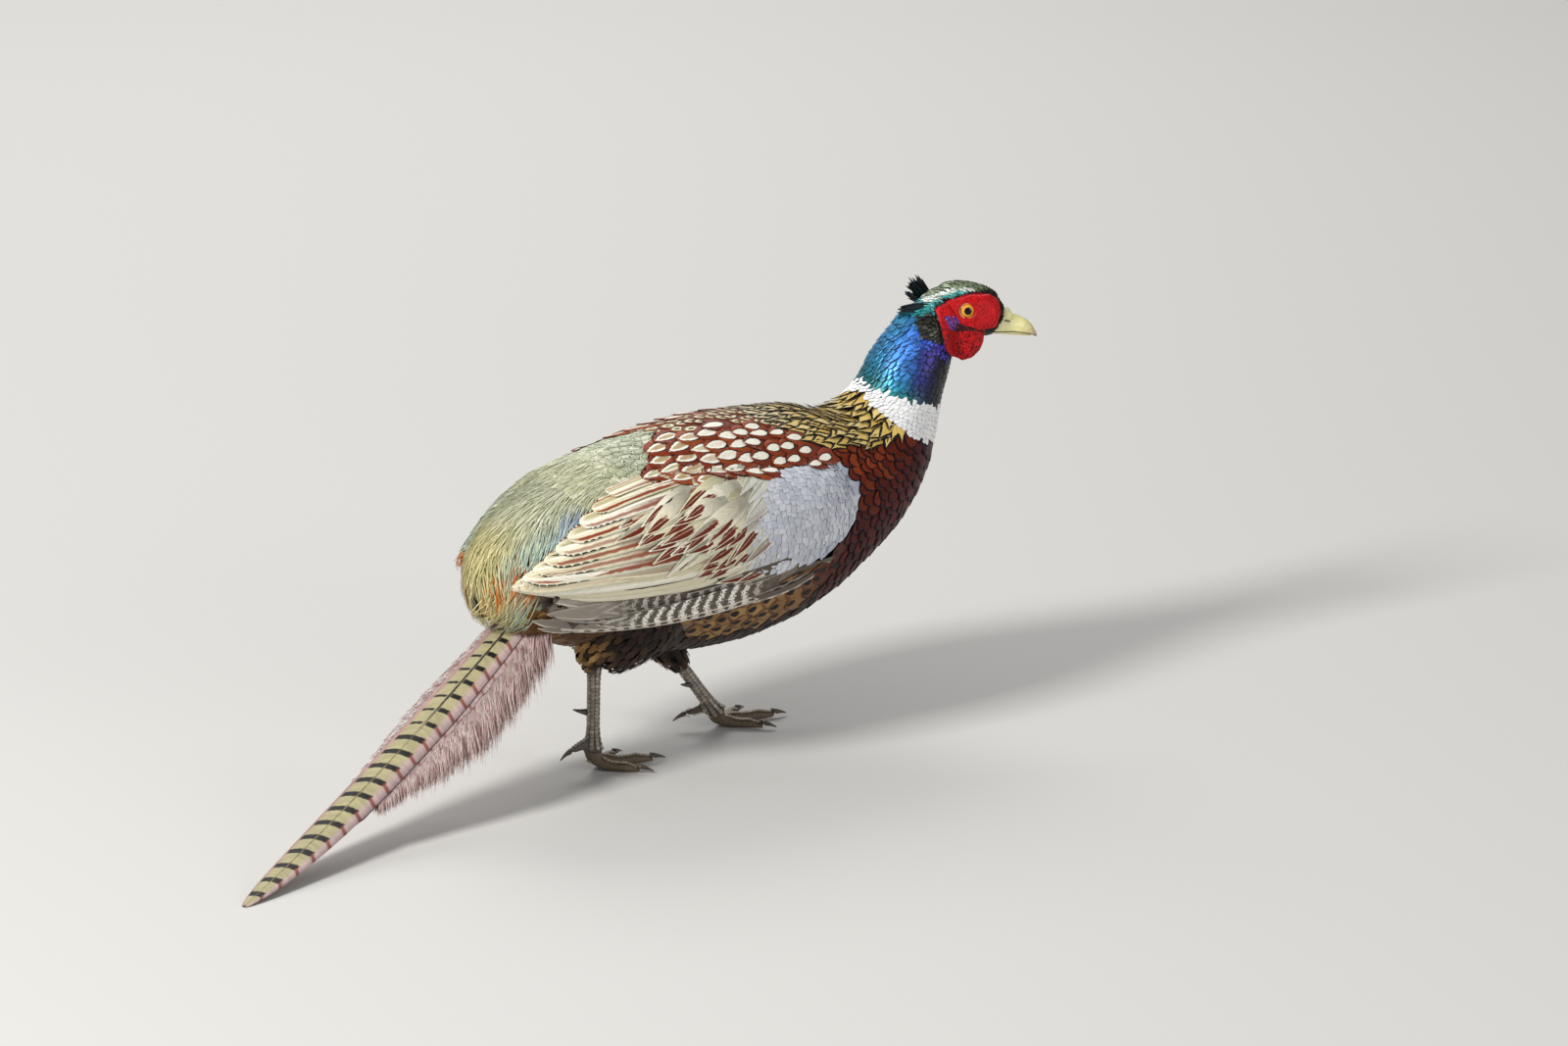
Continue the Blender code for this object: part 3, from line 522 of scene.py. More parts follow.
def tubeMesh(name, rings):
    # a closed tube for each feather from its rings of points
    count, rows, around = rings.shape[:3]
    points = rings.reshape(-1, 3)
    points[:, 2] = np.maximum(points[:, 2], floorGap)
    row, here = np.divmod(np.arange((rows - 1) * around), around)
    row, there = row * around, (here + 1) % around
    faces = np.stack([row + there, row + here, row + around + here, row + around + there], 1)
    last = (rows - 1) * around
    caps = np.stack([np.arange(around), last + np.arange(around)[::-1]])
    starts = np.arange(count)[:, None, None] * rows * around
    faces, caps = faces + starts, caps + starts
    corners = np.concatenate([faces.ravel(), caps.ravel()])
    sizes = np.repeat([4, around], [faces.size // 4, caps.size // around])
    mesh = bpy.data.meshes.new(name)
    mesh.vertices.add(len(points))
    mesh.vertices.foreach_set("co", points.ravel())
    mesh.loops.add(len(corners))
    mesh.loops.foreach_set("vertex_index", corners)
    mesh.polygons.add(len(sizes))
    mesh.polygons.foreach_set("loop_start", np.concatenate([[0], np.cumsum(sizes)[:-1]]))
    mesh.update(calc_edges=True)
    mesh.shade_smooth()
    return mesh, corners


def growFeathers(name, materialName, ground, plan, look, *nodes):
    # plan: line and normal (feather, row, 3), and width, tint, lot and patch for each feather
    look = plainVane | look
    shape = vaneShapes[look["shape"]]
    v = np.array(shape["rows"])
    columns = shape["columns"]
    u = np.linspace(-1, 1, columns)
    over = np.clip((v - shape["shoulder"]) / (1 - shape["shoulder"]), 0, 1)
    half = np.maximum((1 - over ** shape["ends"][0]) ** (1 / shape["ends"][1]), 0.1) / 2
    half *= shape["root"] + (1 - shape["root"]) * np.minimum(v / 0.3, 1) ** 0.7
    line, normal = plan["line"], plan["normal"]
    count, rows = line.shape[:2]
    side = unit(np.cross(normal, np.gradient(line, axis=1)))
    hand = plan.get("hand", np.ones(count))
    fray = 1 - look["fray"] * dice.random((count, rows, columns)) * (abs(u) > 0.99)
    reach = u[None, None] * half[None, :, None] * plan["width"][:, None, None] * fray
    if callable(ground):
        places, normals = ground(reach)
    else:
        places = line[:, :, None] + side[:, :, None] * reach[..., None]
        normals = np.repeat(normal[:, :, None], columns, axis=2)
    if isinstance(ground, dict):
        places, normals = draped(ground, places, look["loose"] * v ** 2)
    tall = v[None, :, None]
    low, high = look["lift"]
    lift = low + (high - low) * tall
    lift = lift + plan.get("raise", np.zeros(count))[:, None, None] * (1 - look["settle"] * (1 - tall))
    lift = lift + look["camber"] * (1 - u ** 2)
    lift = lift + look["tilt"] * u * hand[:, None, None]
    lift = lift + dice.normal(0, look["uneven"], (count, 1, 1)) * (0.4 + tall)
    top = places + normals * lift[..., None]
    thick = look["thick"] * (1 - u ** 2) * (1 - 0.6 * v[:, None])
    bottom = (top - normals * thick[None, ..., None])[:, :, -2:0:-1]
    mesh, corners = tubeMesh(name, np.concatenate([top, bottom], axis=2))
    # barbs lie so close that light falls on many feathers as on one surface
    laid = np.concatenate([normals, -normals[:, :, -2:0:-1]], axis=2).reshape(-1, 3)
    laid = pointArray(mesh, "normal") * (1 - look["even"]) + laid * look["even"]
    mesh.normals_split_custom_set_from_vertices(laid.tolist())
    uRing = np.concatenate([u, u[-2:0:-1]])
    around = len(uRing)
    vane, patch = np.empty((2, count, rows, around, 2))
    vane[..., 0] = (uRing * hand[:, None, None] + 1) / 2
    vane[..., 1] = plan.get("phase", np.broadcast_to(v, (count, rows)))[:, :, None]
    # the underside takes its own half of the patch, so that no two faces share a place
    under = np.arange(around) >= columns
    patch[..., 0] = plan["patch"][:, None, None, 0] + look["patch"][0] * ((uRing + 1) / 4 + 0.5 * under)
    patch[..., 1] = plan["patch"][:, None, None, 1] + look["patch"][1] * tall
    for layerName, values in (("vane", vane), ("OFBake", patch)):
        layer = mesh.uv_layers.new(name=layerName)
        layer.data.foreach_set("uv", values.reshape(-1, 2)[corners].ravel())
    spread = np.repeat(np.arange(count), rows * around)
    paint(mesh, "tint", plan["tint"][spread])
    paint(mesh, "lot", plan["lot"][spread])
    mesh.materials.append(vaneMaterial(materialName, look))
    thing = bpy.data.objects.new(name, mesh)
    bpy.context.scene.collection.objects.link(thing)
    onBird(thing, look["slot"], *nodes)
    # the skin under these roots gets their colour darkened, as painted shade
    rootMarks.append((line[:, 1], plan["tint"] * skinPaintedShade))
    print(name, count, "feathers", len(corners) - 2 * len(mesh.polygons), "triangles")


def straightLines(place, way, normal, length, shape, tipShare):
    v = np.array(vaneShapes[shape]["rows"])
    line = place[:, None] + way[:, None] * ((v[None] - tipShare) * length[:, None])[..., None]
    return line, np.repeat(normal[:, None], len(v), axis=1)


# Tracts of small feathers. outline is on the bird's right in (s, turn). across, along, length and width are
# in millimetres, and swing, the random turn of each feather, in degrees.
plainTract = dict(nodes=(), jitter=.16, swing=4.0, lengthJitter=.05, tipShare=.8)
tracts = dict(
    neck=dict(
        slot="neck_feathers", across=4.4, along=3.6, length=11, width=7.6, sRange=(.355, .434),
        outline=[(.3665, -91), (.3665, 91), (.44, 91), (.44, -91)],
        lift=(-1.1 * mm, 0.25 * mm), nodes=("neck",), settle=.3, barbs=(10, .3), ragged=0.2, rootShade=.6,
        surface=glossyVane | {"Metallic": 0.45, "Coat Roughness": 0.35},
        marks=[oval(.52, (.95, .44), .12, "#04080f", 1.0, 9, lot=1)],
    ),
    ring=dict(
        slot="neck_feathers", across=3.4, along=2.9, length=10, width=6.2, fray=.1, sRange=(.335, .372),
        outline=[(.3665, -91), (.3675, 60), (.371, 80), (.371, 91), (.363, 91), (.357, 62), (.348, 36),
                 (.343, 2), (.345, -50), (.349, -91)],
        lift=(-0.9 * mm, 0.6 * mm), camber=0.15 * mm, ragged=0.1, even=.8, settle=.5, barbs=(14, .06),
        rootShade=0.9, tints=("#e9e8e6", "#f6f5f2"),
        marks=[oval(.52, (.95, .46), .1, "#c9ccd2", .95, 9, strength=.4)],
    ),
    back=dict(
        across=8.2, along=8.2, length=25, width=13.5, sRange=(.13, .265),
        outline=[(.238, 91), (.238, 69), (.216, 75), (.188, 80), (.164, 80), (.146, 79), (.150, 91)],
        lift=(-1.2 * mm, 0.4 * mm), ragged=0.16, barbs=(18, .14), tints=("#6a2a0e", "#8a4a20"),
        marks=[
            oval(.72, (.62, .25), .06, "#17100a"),
            oval(.74, (.5, .21), .08, "#e6dcb4", .42, .92),
            oval(.74, (.5, .21), .08, "#57452c", -1, .4),
        ],
    ),
    mantle=dict(
        shape="pointed", across=6.6, along=8.0, length=26, width=11.5, jitter=.28, swing=9,
        sRange=(.185, .37),
        outline=[(.366, 91), (.357, 62), (.349, 36), (.342, 6), (.325, 29), (.303, 39), (.284, 43),
                 (.270, 43), (.262, 52), (.244, 62), (.232, 72), (.232, 91)],
        lift=(-1.4 * mm, 0.75 * mm), ragged=0.22, settle=1, barbs=(16, .16),
        tints=("#cda64e", "#dcbc66", "#e8d08a"),
        marks=[
            band("slant", 1.02, 9, .03, "#0a0704", slope=.60),
            oval(.70, (.14, .10), .2, "#120b06", lot=1),
        ],
    ),
    scapulars=dict(
        across=11.0, along=13.6, length=37, width=18.5, sRange=(.11, .285),
        outline=[(.276, 39), (.262, 50), (.244, 61), (.216, 74), (.188, 81), (.164, 81), (.143, 79),
                 (.126, 67), (.117, 55), (.136, 45), (.164, 41), (.216, 41), (.262, 38)],
        lift=(-1.7 * mm, 1.3 * mm), camber=0.3 * mm, ragged=0.12, jitter=.10, barbs=(20, .12),
        tints=("#70260a", "#86330e", "#984618"), tintsAt=(0, .6, 1),
        marks=[
            oval(.765, (.50, .225), .07, "#150a06"),
            oval(.78, (.40, .195), .06, "#f4eedd"),
            oval(.765, (.21, .15), .14, "#a98d5c", lot=1),
        ],
    ),
    rump=dict(
        across=6.0, along=5.2, length=19, width=10, sRange=(.075, .165),
        outline=[(.153, 91), (.147, 79), (.135, 76), (.131, 66), (.108, 60), (.079, 49), (.070, 46),
                 (.070, 91)],
        lift=(-1.3 * mm, 0.3 * mm), loose=0.2, fray=0.35, ragged=0.35, barbs=(12, .2),
        tints=("#a3aa8e", "#bcc1a6", "#d2d3ba"), tintsAt=(0, .6, 1),
        marks=[
            oval(.66, (.85, .30), .08, "#4d482a", .78, .98, lot=1),
            oval(.66, (.85, .30), .08, "#e9e8cc", 1.02, 1.2, lot=1, strength=.6),
        ],
    ),
    hair=dict(
        shape="strand", across=1.9, along=2.5, length=20, width=1.15, tipShare=.5, sRange=(.001, .100),
        lengthJitter=.2, swing=8,
        outline=[(.100, 91), (.098, 58), (.079, 48), (.055, 39), (.035, 29), (.022, 0), (.020, -40),
                 (-.01, -70), (-.01, 91)],
        lift=(-0.9 * mm, 1.0 * mm), loose=.45, camber=0, tilt=0, uneven=0.25 * mm, thick=.35 * mm,
        barbs=(3, .15),
        rootShade=.8, tints=("#a8ab8a", "#c8c9a8", "#e4e2c8"),
    ),
    belly=dict(
        across=8.0, along=7.4, length=24, width=13, sRange=(.02, .24),
        outline=[(.232, -36), (.21, -46), (.17, -49), (.13, -49), (.10, -43), (.085, -30), (.02, -22),
                 (.0, -30), (.0, -91), (.228, -91)],
        lift=(-1.5 * mm, 0.2 * mm), fray=0.3, loose=0.15, ragged=0.2, barbs=(12, .25),
        tints=("#180f0a", "#2f1c10"),
    ),
    breast=dict(
        across=7.6, along=6.6, length=21, width=12.5, sRange=(.20, .372),
        outline=[(.346, 0), (.342, 8), (.325, 31), (.303, 41), (.284, 45), (.274, 42), (.276, 20),
                 (.270, 6), (.256, -2), (.250, -14), (.246, -26), (.232, -36), (.225, -91), (.352, -91),
                 (.347, -50)],
        lift=(-1.2 * mm, 0.3 * mm), ragged=0.18, barbs=(16, .22), tints=("#5e1c08", "#76290c", "#903e16"),
        surface={"Roughness": 0.45, "Metallic": 0.12, "Specular IOR Level": 0.16},
        marks=[
            oval(.56, (.92, .44), .06, "#0d0512", .96, 9),
            oval(.98, (.18, .09), .2, "#0d0512", strength=.8),
        ],
    ),
    flank=dict(
        across=11, along=11, length=34, width=18, sRange=(.10, .262),
        outline=[(.250, -12), (.246, -26), (.232, -38), (.21, -47), (.17, -50), (.13, -50), (.10, -44),
                 (.10, -24), (.2, -20), (.23, -12)],
        lift=(-1.4 * mm, 0.1 * mm), ragged=0.14, barbs=(20, .16), tints=("#7c5830", "#a07c4c"),
        marks=[
            oval(.88, (.40, .12), .1, "#0b0707"),
            band("slant", 1.16, 9, .06, "#5b2712", slope=.5, strength=.6),
        ],
    ),
    underwing=dict(
        slot="wing_feathers", across=7.5, along=7.0, length=23, width=13, even=.6, sRange=(.0, .2),
        outline=[(.2, -26), (.2, 4), (.10, 6), (.02, 8), (.0, 8), (.0, -50), (.10, -46)],
        lift=(-1.8 * mm, -0.6 * mm), ragged=0.14, barbs=(20, .16), tints=("#5a5047", "#7d7165"),
    ),
    lesser=dict(
        slot="wing_feathers", across=4.0, along=4.6, length=17, width=7.4, fray=.06, swing=4,
        sRange=(.145, .285), jitter=.2, even=.95, bump=.08, tipShare=.62,
        outline=[(.212, 44), (.180, 30), (.162, 10), (.168, -5), (.191, -8), (.235, -8), (.258, 0),
                 (.271, 8), (.276, 21), (.275, 36), (.268, 40)],
        lift=(-1.2 * mm, 0.4 * mm), tilt=0.04 * mm, camber=0.04 * mm, uneven=0.02 * mm, thick=.08 * mm,
        barbs=(12, .06), rootShade=0.97, ragged=0.1, tints=("#bbbdc7", "#c8cad2", "#d6d8de"),
        marks=[
            band("across", -1, .10, .08, "#f1eee6", lot=1, strength=.6),
            oval(.85, (.5, .12), .3, "#5d6472", lot=2, strength=.7),
        ],
    ),
    coverts=dict(
        slot="wing_feathers", shape="pointed", across=5.8, along=13.5, length=50, width=11.5, jitter=.3,
        swing=6, sRange=(.03, .24), lengthJitter=.12,
        outline=[(.194, 39), (.185, 32), (.168, 14), (.164, -2), (.172, -9), (.136, -9), (.116, -1),
                 (.102, 9), (.084, 20), (.070, 31), (.068, 40), (.079, 48), (.10, 56), (.126, 62),
                 (.119, 52), (.136, 45), (.164, 41)],
        lift=(-1.0 * mm, 1.1 * mm), tilt=0.05 * mm, camber=0.08 * mm, ragged=0.16, fray=0.1, even=.85,
        raggedSize=2.5 * mm, thick=.1 * mm, barbs=(30, .14, -.16), tints=("#d6cda6", "#e2dabb", "#efe9d4"),
        marks=[
            # a chestnut patch on one web, grey-olive on the other
            oval(.71, (.68, .24), .08, "#6a1f08", shift=.12, lot=1),
            oval(.74, (.38, .24), .14, "#a3a58e", shift=-.40, lot=2, strength=.8),
            band("across", -1, .06, .04, "#f4ecd0", only=[("along", -1, .93)], strength=.45),
        ],
    ),
)


def headShare(places):
    # how many millimetres ahead of the line where the neck's feathers give way to the head's
    x, y, z = inHead(places).T
    return .5 * (x + 30) + .86 * (z + 18)


# the bare red skin's outline, as x and z in the head's frame
wattleOutline = [(-23, 1), (-12, 6.5), (0, 12), (12, 14), (19, 11), (22, 3), (20.5, -6.5), (13.5, -8.5),
                 (13.5, -18), (10, -26), (3, -30.5), (-5, -29.5), (-12, -22), (-16, -12)]
wattleGap = 4  # half the width of the feathered strip between the two sides


def wattleEdge(places):
    # how many millimetres each place lies inside the bare skin's outline, or outside it if negative
    x, y, z = inHead(places).T
    corners = np.array(wattleOutline, float)
    nearest = np.full(len(x), np.inf)
    for start, end in zip(corners, np.roll(corners, -1, axis=0)):
        reach = end - start
        along = np.clip(((x - start[0]) * reach[0] + (z - start[1]) * reach[1]) / (reach @ reach), 0, 1)
        nearest = np.minimum(nearest, np.hypot(x - start[0] - along * reach[0],
                                               z - start[1] - along * reach[1]))
    return np.where(within(wattleOutline, x, z) & (abs(y) > wattleGap), nearest, -nearest)


def closeTo(s, turn, spots, reach):
    # 1 at some spots of the chart and 0 further away than a reach in metres
    metresPerDegree = .0009
    far = np.min([np.hypot(s - spot[0], (turn - spot[1]) * metresPerDegree) for spot in spots], axis=0)
    return smoothStep(reach, reach * .4, far)


def tractTint(name, s, turn, luck):
    if name == "neck":
        # teal at the nape and above the ring, blue in the middle, violet at the throat's side; the black in
        # front is partly the throat's own dark and partly painted shadow on the side away from the light
        nape = shades(s, "#14685c", "#1a6a80", "#2c7aae", "#2f96a8", at=(.366, .380, .40, .434))
        tint = shades(s, "#1c8a74", "#2a8cae", "#3f86dc", "#4a78e2", at=(.366, .374, .390, .434))
        front = shades(s, "#0c3a44", "#1c2468", "#32267e", "#2a2170", at=(.366, .380, .400, .434))
        tint = mixed(tint, nape, smoothStep(35, 75, turn))
        tint = mixed(tint, front, smoothStep(34, 4, turn))
        # partly painted shadow: the front of the neck goes black
        return mixed(tint, "#050508", smoothStep(2, -30, turn)) * (.7 + .55 * luck[:, None])
    look = tracts[name]
    tint = shades(luck, *look["tints"], at=look.get("tintsAt"))
    if name == "hair":
        tint = mixed(tint, shades(luck, "#b0a66c", "#ccc184", "#e8dda8"), smoothStep(.05, .01, s))
        teal = smoothStep(66, 46, turn) * smoothStep(.085, .065, s) * smoothStep(.004, .02, s)
        tint = mixed(tint, shades(luck, "#8fb0ac", "#bcd6cc"), teal * .7 * (dice.random(len(s)) < .8))
        blue = closeTo(s, turn, [(.064, 47), (.056, 40)], .014) * (dice.random(len(s)) < .8)
        tint = mixed(tint, shades(luck, "#8f9ac4", "#b6c0da"), blue * .8)
        orange = closeTo(s, turn, [(.006, 27), (.015, 34), (.018, 17), (.024, 2), (.006, 8)], .012)
        orange = orange * (luck < .7)
        return mixed(tint, shades(luck, "#b5601c", "#e08a3a"), orange)
    if name == "mantle":
        return mixed(tint, "#d9c79a", smoothStep(.285, .235, s) * smoothStep(60, 80, turn))
    if name == "rump":
        return mixed(tint, shades(luck, "#adae86", "#c3c198", "#d8d4b2"), smoothStep(.125, .08, s))
    if name == "breast":
        # darker maroon towards the underside, partly the breast's own deeper colour and partly painted shade
        tint = mixed(tint, shades(luck, "#330809", "#50130e"), smoothStep(24, -12, turn))
        return mixed(tint, "#3a1034", smoothStep(.322, .345, s) * smoothStep(10, -20, turn) * .6)
    if name == "flank":
        return mixed(tint, "#4a180a", smoothStep(.20, .235, s))
    if name == "belly":
        return mixed(tint, shades(luck, "#573618", "#8a6434"), smoothStep(.09, .03, s))
    if name == "lesser":
        blue = smoothStep(.268, .279, s) + smoothStep(2, -7, turn) * smoothStep(.20, .24, s)
        tint = mixed(tint, "#8391a8", blue * .5)
        return mixed(tint, shades(luck, "#bcbdae", "#dedac6"), smoothStep(.185, .16, s) * .8)
    if name == "coverts":
        return mixed(tint, "#bfc0c4", smoothStep(.15, .175, s) * .6)
    return tint


def tractAngle(name, s, turn):
    # degrees that feathers point down from straight back
    if name == "lesser":
        return 30 - 16 * smoothStep(.20, .27, s)
    if name == "coverts":
        return 10 + 20 * smoothStep(.06, .17, s) * smoothStep(-16, 10, turn)
    if name == "scapulars":
        return 8 * smoothStep(.2, .13, s)
    if name == "hair":
        return (44 + 18 * smoothStep(.03, .01, s)) * smoothStep(88, 50, turn) * smoothStep(.12, .06, s)
    if name == "rump":
        return 22 * smoothStep(88, 55, turn) * smoothStep(.15, .09, s)
    return np.full(len(s), -6.0 if name == "flank" else 0.0)


def tractLot(name, s, luck):
    # luck, and the strengths of the marks that name a lot
    lot = np.stack([luck, np.zeros(len(s)), np.zeros(len(s))], 1)
    if name == "neck":
        lot[:, 1] = np.where(dice.random(len(s)) < 0.3, .9, 0.35)
    if name == "mantle":
        lot[:, 1] = dice.random(len(s)) < 0.35
    if name == "scapulars":
        lot[:, 1] = smoothStep(.19, .15, s) * 0.9 + 0.1 * (luck > .8)
    if name == "rump":
        lot[:, 1] = 0.25 + 0.75 * smoothStep(.085, .12, s)
    if name == "lesser":
        lot[:, 1] = (dice.random(len(s)) < 0.4) * (1 - smoothStep(.25, .27, s))
        lot[:, 2] = smoothStep(.255, .268, s) * (dice.random(len(s)) < 0.5)
    if name == "coverts":
        chance = dice.random(len(s))
        lot[:, 1] = (chance < 0.82) * smoothStep(.178, .160, s)
        lot[:, 2] = (chance >= 0.66) | (s > .165)
    return lot


def tractPick(name, outline, s, turn):
    # which places of the lattice belong to the tract
    side = mirrorTurn(turn)
    # the rump's feathers reach lower on the left, down to the wing that hangs lower there
    lower = 14 * ((turn > 90) & (name in ("hair", "rump")))
    pick = within(outline, s + dice.normal(0, 0.8 * mm, len(s)), np.minimum(side + lower, 90))
    if name == "neck":
        place = onBody(s, turn)[0]
        pick &= (headShare(place) < 2) & (wattleEdge(place) < -.3)
    if name == "coverts":
        # on the left they stop lower, so that none stands up behind the back
        pick &= (turn < 90) | (side < 42)
    return pick


def tractRaise(name, s, turn, side):
    if name in ("neck", "ring", "mantle"):
        # the plumage is full at the nape, where the neck rises from the back
        full = np.interp(s, [.285, .325, .345, .38, .42, .434], [0, 2.4, 3.2, 2.6, 1.8, 0]) * mm
        return full * smoothStep(25, 80, side)
    if name == "coverts":
        # they lie over the quills, which stand higher towards their tips
        over = smoothStep(.165, .12, s) * smoothStep(2, 16, side) * smoothStep(40, 30, side)
        return 2.4 * mm * over * (turn < 90)
    return np.zeros(len(s))


def growTract(name, look):
    look = plainTract | plainVane | look
    s, turn = lattice(look["across"] * mm, look["along"] * mm, look["sRange"], look["jitter"])
    pick = tractPick(name, look["outline"], s, turn)
    s, turn = s[pick], turn[pick]
    luck = dice.random(len(s))
    place, back, around, normal = onBody(s, turn)
    turnSide = np.where((turn + 90) % 360 - 90 > 90, 1.0, -1.0)
    side = mirrorTurn(turn)
    angle = np.radians(tractAngle(name, s, side) + dice.normal(0, look["swing"], len(s)))[:, None]
    way = back * np.cos(angle) + around * turnSide[:, None] * np.sin(angle)
    length = look["length"] * mm * dice.normal(1, look["lengthJitter"], len(s))
    width = look["width"] * mm * dice.normal(1, 0.05, len(s))
    if name == "hair":
        length *= 1 + .6 * smoothStep(.025, 0, s)
        # the blue by the wing is on the right only, since on the left it would stand on the back's outline
        side = np.where((turn > 90) & (s > .035), np.maximum(side, 60), side)
    if name == "scapulars":
        growth = .82 + .42 * smoothStep(.24, .15, s)
        length, width = length * growth, width * growth
    line, normals = straightLines(place, way, normal, length, look["shape"], look["tipShare"])
    plan = dict(
        line=line, normal=normals, width=width, hand=-turnSide,
        tint=tractTint(name, s, side, luck), lot=tractLot(name, s, luck),
        patch=np.stack([s / spineLengths[-1] * 0.98, ((turn + 90) % 360) / 360 * 0.98], 1),
    )
    plan["raise"] = tractRaise(name, s, turn, side)
    growFeathers("coat_" + name, name + "Vane", bodyGround, plan, look, *look["nodes"])


for tractName, tractLook in tracts.items():
    growTract(tractName, tractLook)


# Wings: long quills laid in order, the lowest and outermost first.
quills = dict(
    primaries=dict(
        slot="flight_feathers", shape="long", lift=(-0.6 * mm, 0.9 * mm), step=0.5 * mm, camber=0.1 * mm,
        tilt=0,
        patch=(.012, .09), ragged=0.05, nodes=("primaries_right", "primaries_left"), settle=.8, even=.6,
        barbs=(90, .12, -.1), rootShade=0.9, tints=("#574c41", "#675b4e"),
        # root, middle and tip on the chart, the width in millimetres and two strengths of the marks
        feathers=[
            ((.205, 3), (.107, -7), (.030, -2), 14, 0, 0),
            ((.218, -4), (.110, -13), (.025, -13), 14, 0, .5),
            ((.236, -20), (.114, -30), (.024, -39), 8, 1, 0),
            ((.236, -15), (.113, -22), (.022, -29), 19, 1, 1),
        ],
        marks=[
            # white bars over the inner web, mottled behind them, and dark notches in the pale outer web
            band("side", -9, 9, .05, "#8e857a", only=[("along", .72, 9)]),
            band("bars", .32, 9, .04, "#f6f3ea", count=23, slope=.3, lot=2, only=[("along", .24, .69)]),
            band("bars", .38, 9, .08, "#ece8de", count=12, slope=1.6, lot=2,
                 only=[("along", .69, .80), ("side", -.7, .45)]),
            band("side", .60, 9, .03, "#ddd6c8", lot=1),
            band("bars", -1, .26, .04, "#4b4238", count=23, slope=.3,
                 only=[("side", .64, .93), ("along", .05, .85)]),
            band("side", .54, .60, .03, "#f0e6d8"),
            band("side", .95, 9, .03, "#f4f0e6"),
        ],
    ),
    secondaries=dict(
        slot="wing_feathers", shape="long", lift=(-0.3 * mm, .9 * mm), step=0.26 * mm, camber=0.15 * mm,
        tilt=.06 * mm, patch=(.012, .09), ragged=0.22, raggedSize=5 * mm, nodes=("wing_right", "wing_left"),
        settle=.9, even=.6, barbs=(60, .1, -.1), rootShade=0.9, tints=("#ded6b4", "#f1ecda"),
        feathers=[
            ((.188, -5), (.080, -3), (.026, 8), 12, 0, .1),
            ((.187, -1), (.077, 1), (.018, 14), 13, 0, .1),
            ((.184, 4), (.075, 5.5), (.013, 18), 14, 0, .1),
            ((.182, 9), (.074, 10.5), (.013, 21.5), 15, .3, .3),
            ((.180, 14), (.075, 15.5), (.018, 25), 15, .9, .5),
            ((.177, 20), (.078, 21), (.025, 28.5), 15, .8, .6),
            ((.175, 26), (.082, 26.5), (.033, 32), 15, .9, .8),
            ((.175, 31.5), (.087, 32), (.042, 36), 15, .7, .9),
            ((.176, 38), (.092, 37.5), (.052, 40), 14, 1, 1),
            ((.176, 44), (.098, 43), (.063, 45), 14, .8, 1),
            ((.172, 51), (.104, 49), (.075, 49.5), 13, 1, 1),
            ((.165, 58), (.110, 55), (.089, 54), 12, .8, 1),
        ],
        marks=[
            band("side", -.62, -.12, .1, "#b9ae84", lot=2, only=[("along", .1, .93)]),
            band("side", .10, .80, .08, "#7a2c10", lot=1, only=[("along", .10, .46)], onlySoft=.1),
            band("side", .42, .74, .06, "#8a3a1c", lot=1, only=[("along", .1, .94)]),
            band("side", -.86, -.7, .05, "#94502c", lot=2, only=[("along", .1, .92)]),
            band("across", -1, .06, .04, "#fbf6e6"),
        ],
    ),
)
highestLeft = 46  # no quill on the left ends above this turn, where it would stand up behind the back


def growQuills(name, look):
    v = np.array(vaneShapes[look["shape"]]["rows"])
    lines, normals, widths, raises, lots, hands, patches = [], [], [], [], [], [], []
    for hand in (1, -1):
        for number, (root, middle, tip, width, first, second) in enumerate(look["feathers"]):
            if hand < 0 and tip[1] > highestLeft:
                continue
            a, m, b = (np.array(point, float) for point in (root, middle, tip))
            control = 2 * m - (a + b) / 2
            path = np.outer((1 - v) ** 2, a) + np.outer(2 * v * (1 - v), control) + np.outer(v ** 2, b)
            # the left wing hangs a little lower, out of sight behind the back
            turn = path[:, 1] if hand > 0 else 185 + 10 * v - path[:, 1]
            place, back, around, normal = onBody(path[:, 0], turn)
            # a quill is stiff: it bridges the body's small hollows
            lines.append(np.stack([np.polyval(np.polyfit(v, place[:, i], 4), v) for i in range(3)], 1))
            stiff = np.stack([np.polyval(np.polyfit(v, normal[:, i], 3), v) for i in range(3)], 1)
            normals.append(unit(stiff))
            widths.append(width * mm)
            raises.append(number * look["step"] * (1 if hand > 0 else .5))
            lots.append((dice.random(), first, second))
            hands.append(hand)
            patches.append((0.02 + 0.03 * number, 0.1 if hand > 0 else 0.6))
    plan = dict(
        line=np.array(lines), normal=np.array(normals), width=np.array(widths), hand=np.array(hands, float),
        tint=shades(dice.random(len(lines)), *look["tints"]), lot=np.array(lots), patch=np.array(patches),
    )
    plan["raise"] = np.array(raises)
    growFeathers("quills_" + name, name + "Vane", None, plan, look, *look["nodes"])


for quillName, quillLook in quills.items():
    growQuills(quillName, quillLook)


# Tail: long barred vanes over a roof-shaped curve, with loose fringes at their edges.
tail = dict(
    root=(-.098, -.001, .118), bend=(-.235, -.025, .031), tip=(-.3985, -.1015, .0006),
    roof=.24, hang=4.0, ridge=.005,
    barsAt=(.0133, .0185), length=.345,  # spacing of the bars at the root and at the tip
    # start and end as shares of the tail, sideways place at both, and width and height under the ridge, which
    # are in millimetres like the places
    feathers=[(.02, 1.0, 0, 0, 30, 0.0), (.02, .97, 4, 1.5, 28, .5), (.02, .86, -6, -3.0, 26, 1.0),
              (.02, .80, 9, 5, 25, 1.0), (.02, .66, -11, -9, 24, 1.6), (.02, .62, 13, 9, 23, 1.6),
              (.02, .54, -14, -12, 21, 2.2), (.02, .50, 15, 12, 20, 2.2), (.02, .44, -17.5, -16, 20, 2.8),
              (.02, .40, 18, 15, 18, 2.8), (.02, .34, -19, -18, 18, 3.2), (.02, .32, 19, 17, 16, 3.2)],
    topVanes=2,
)


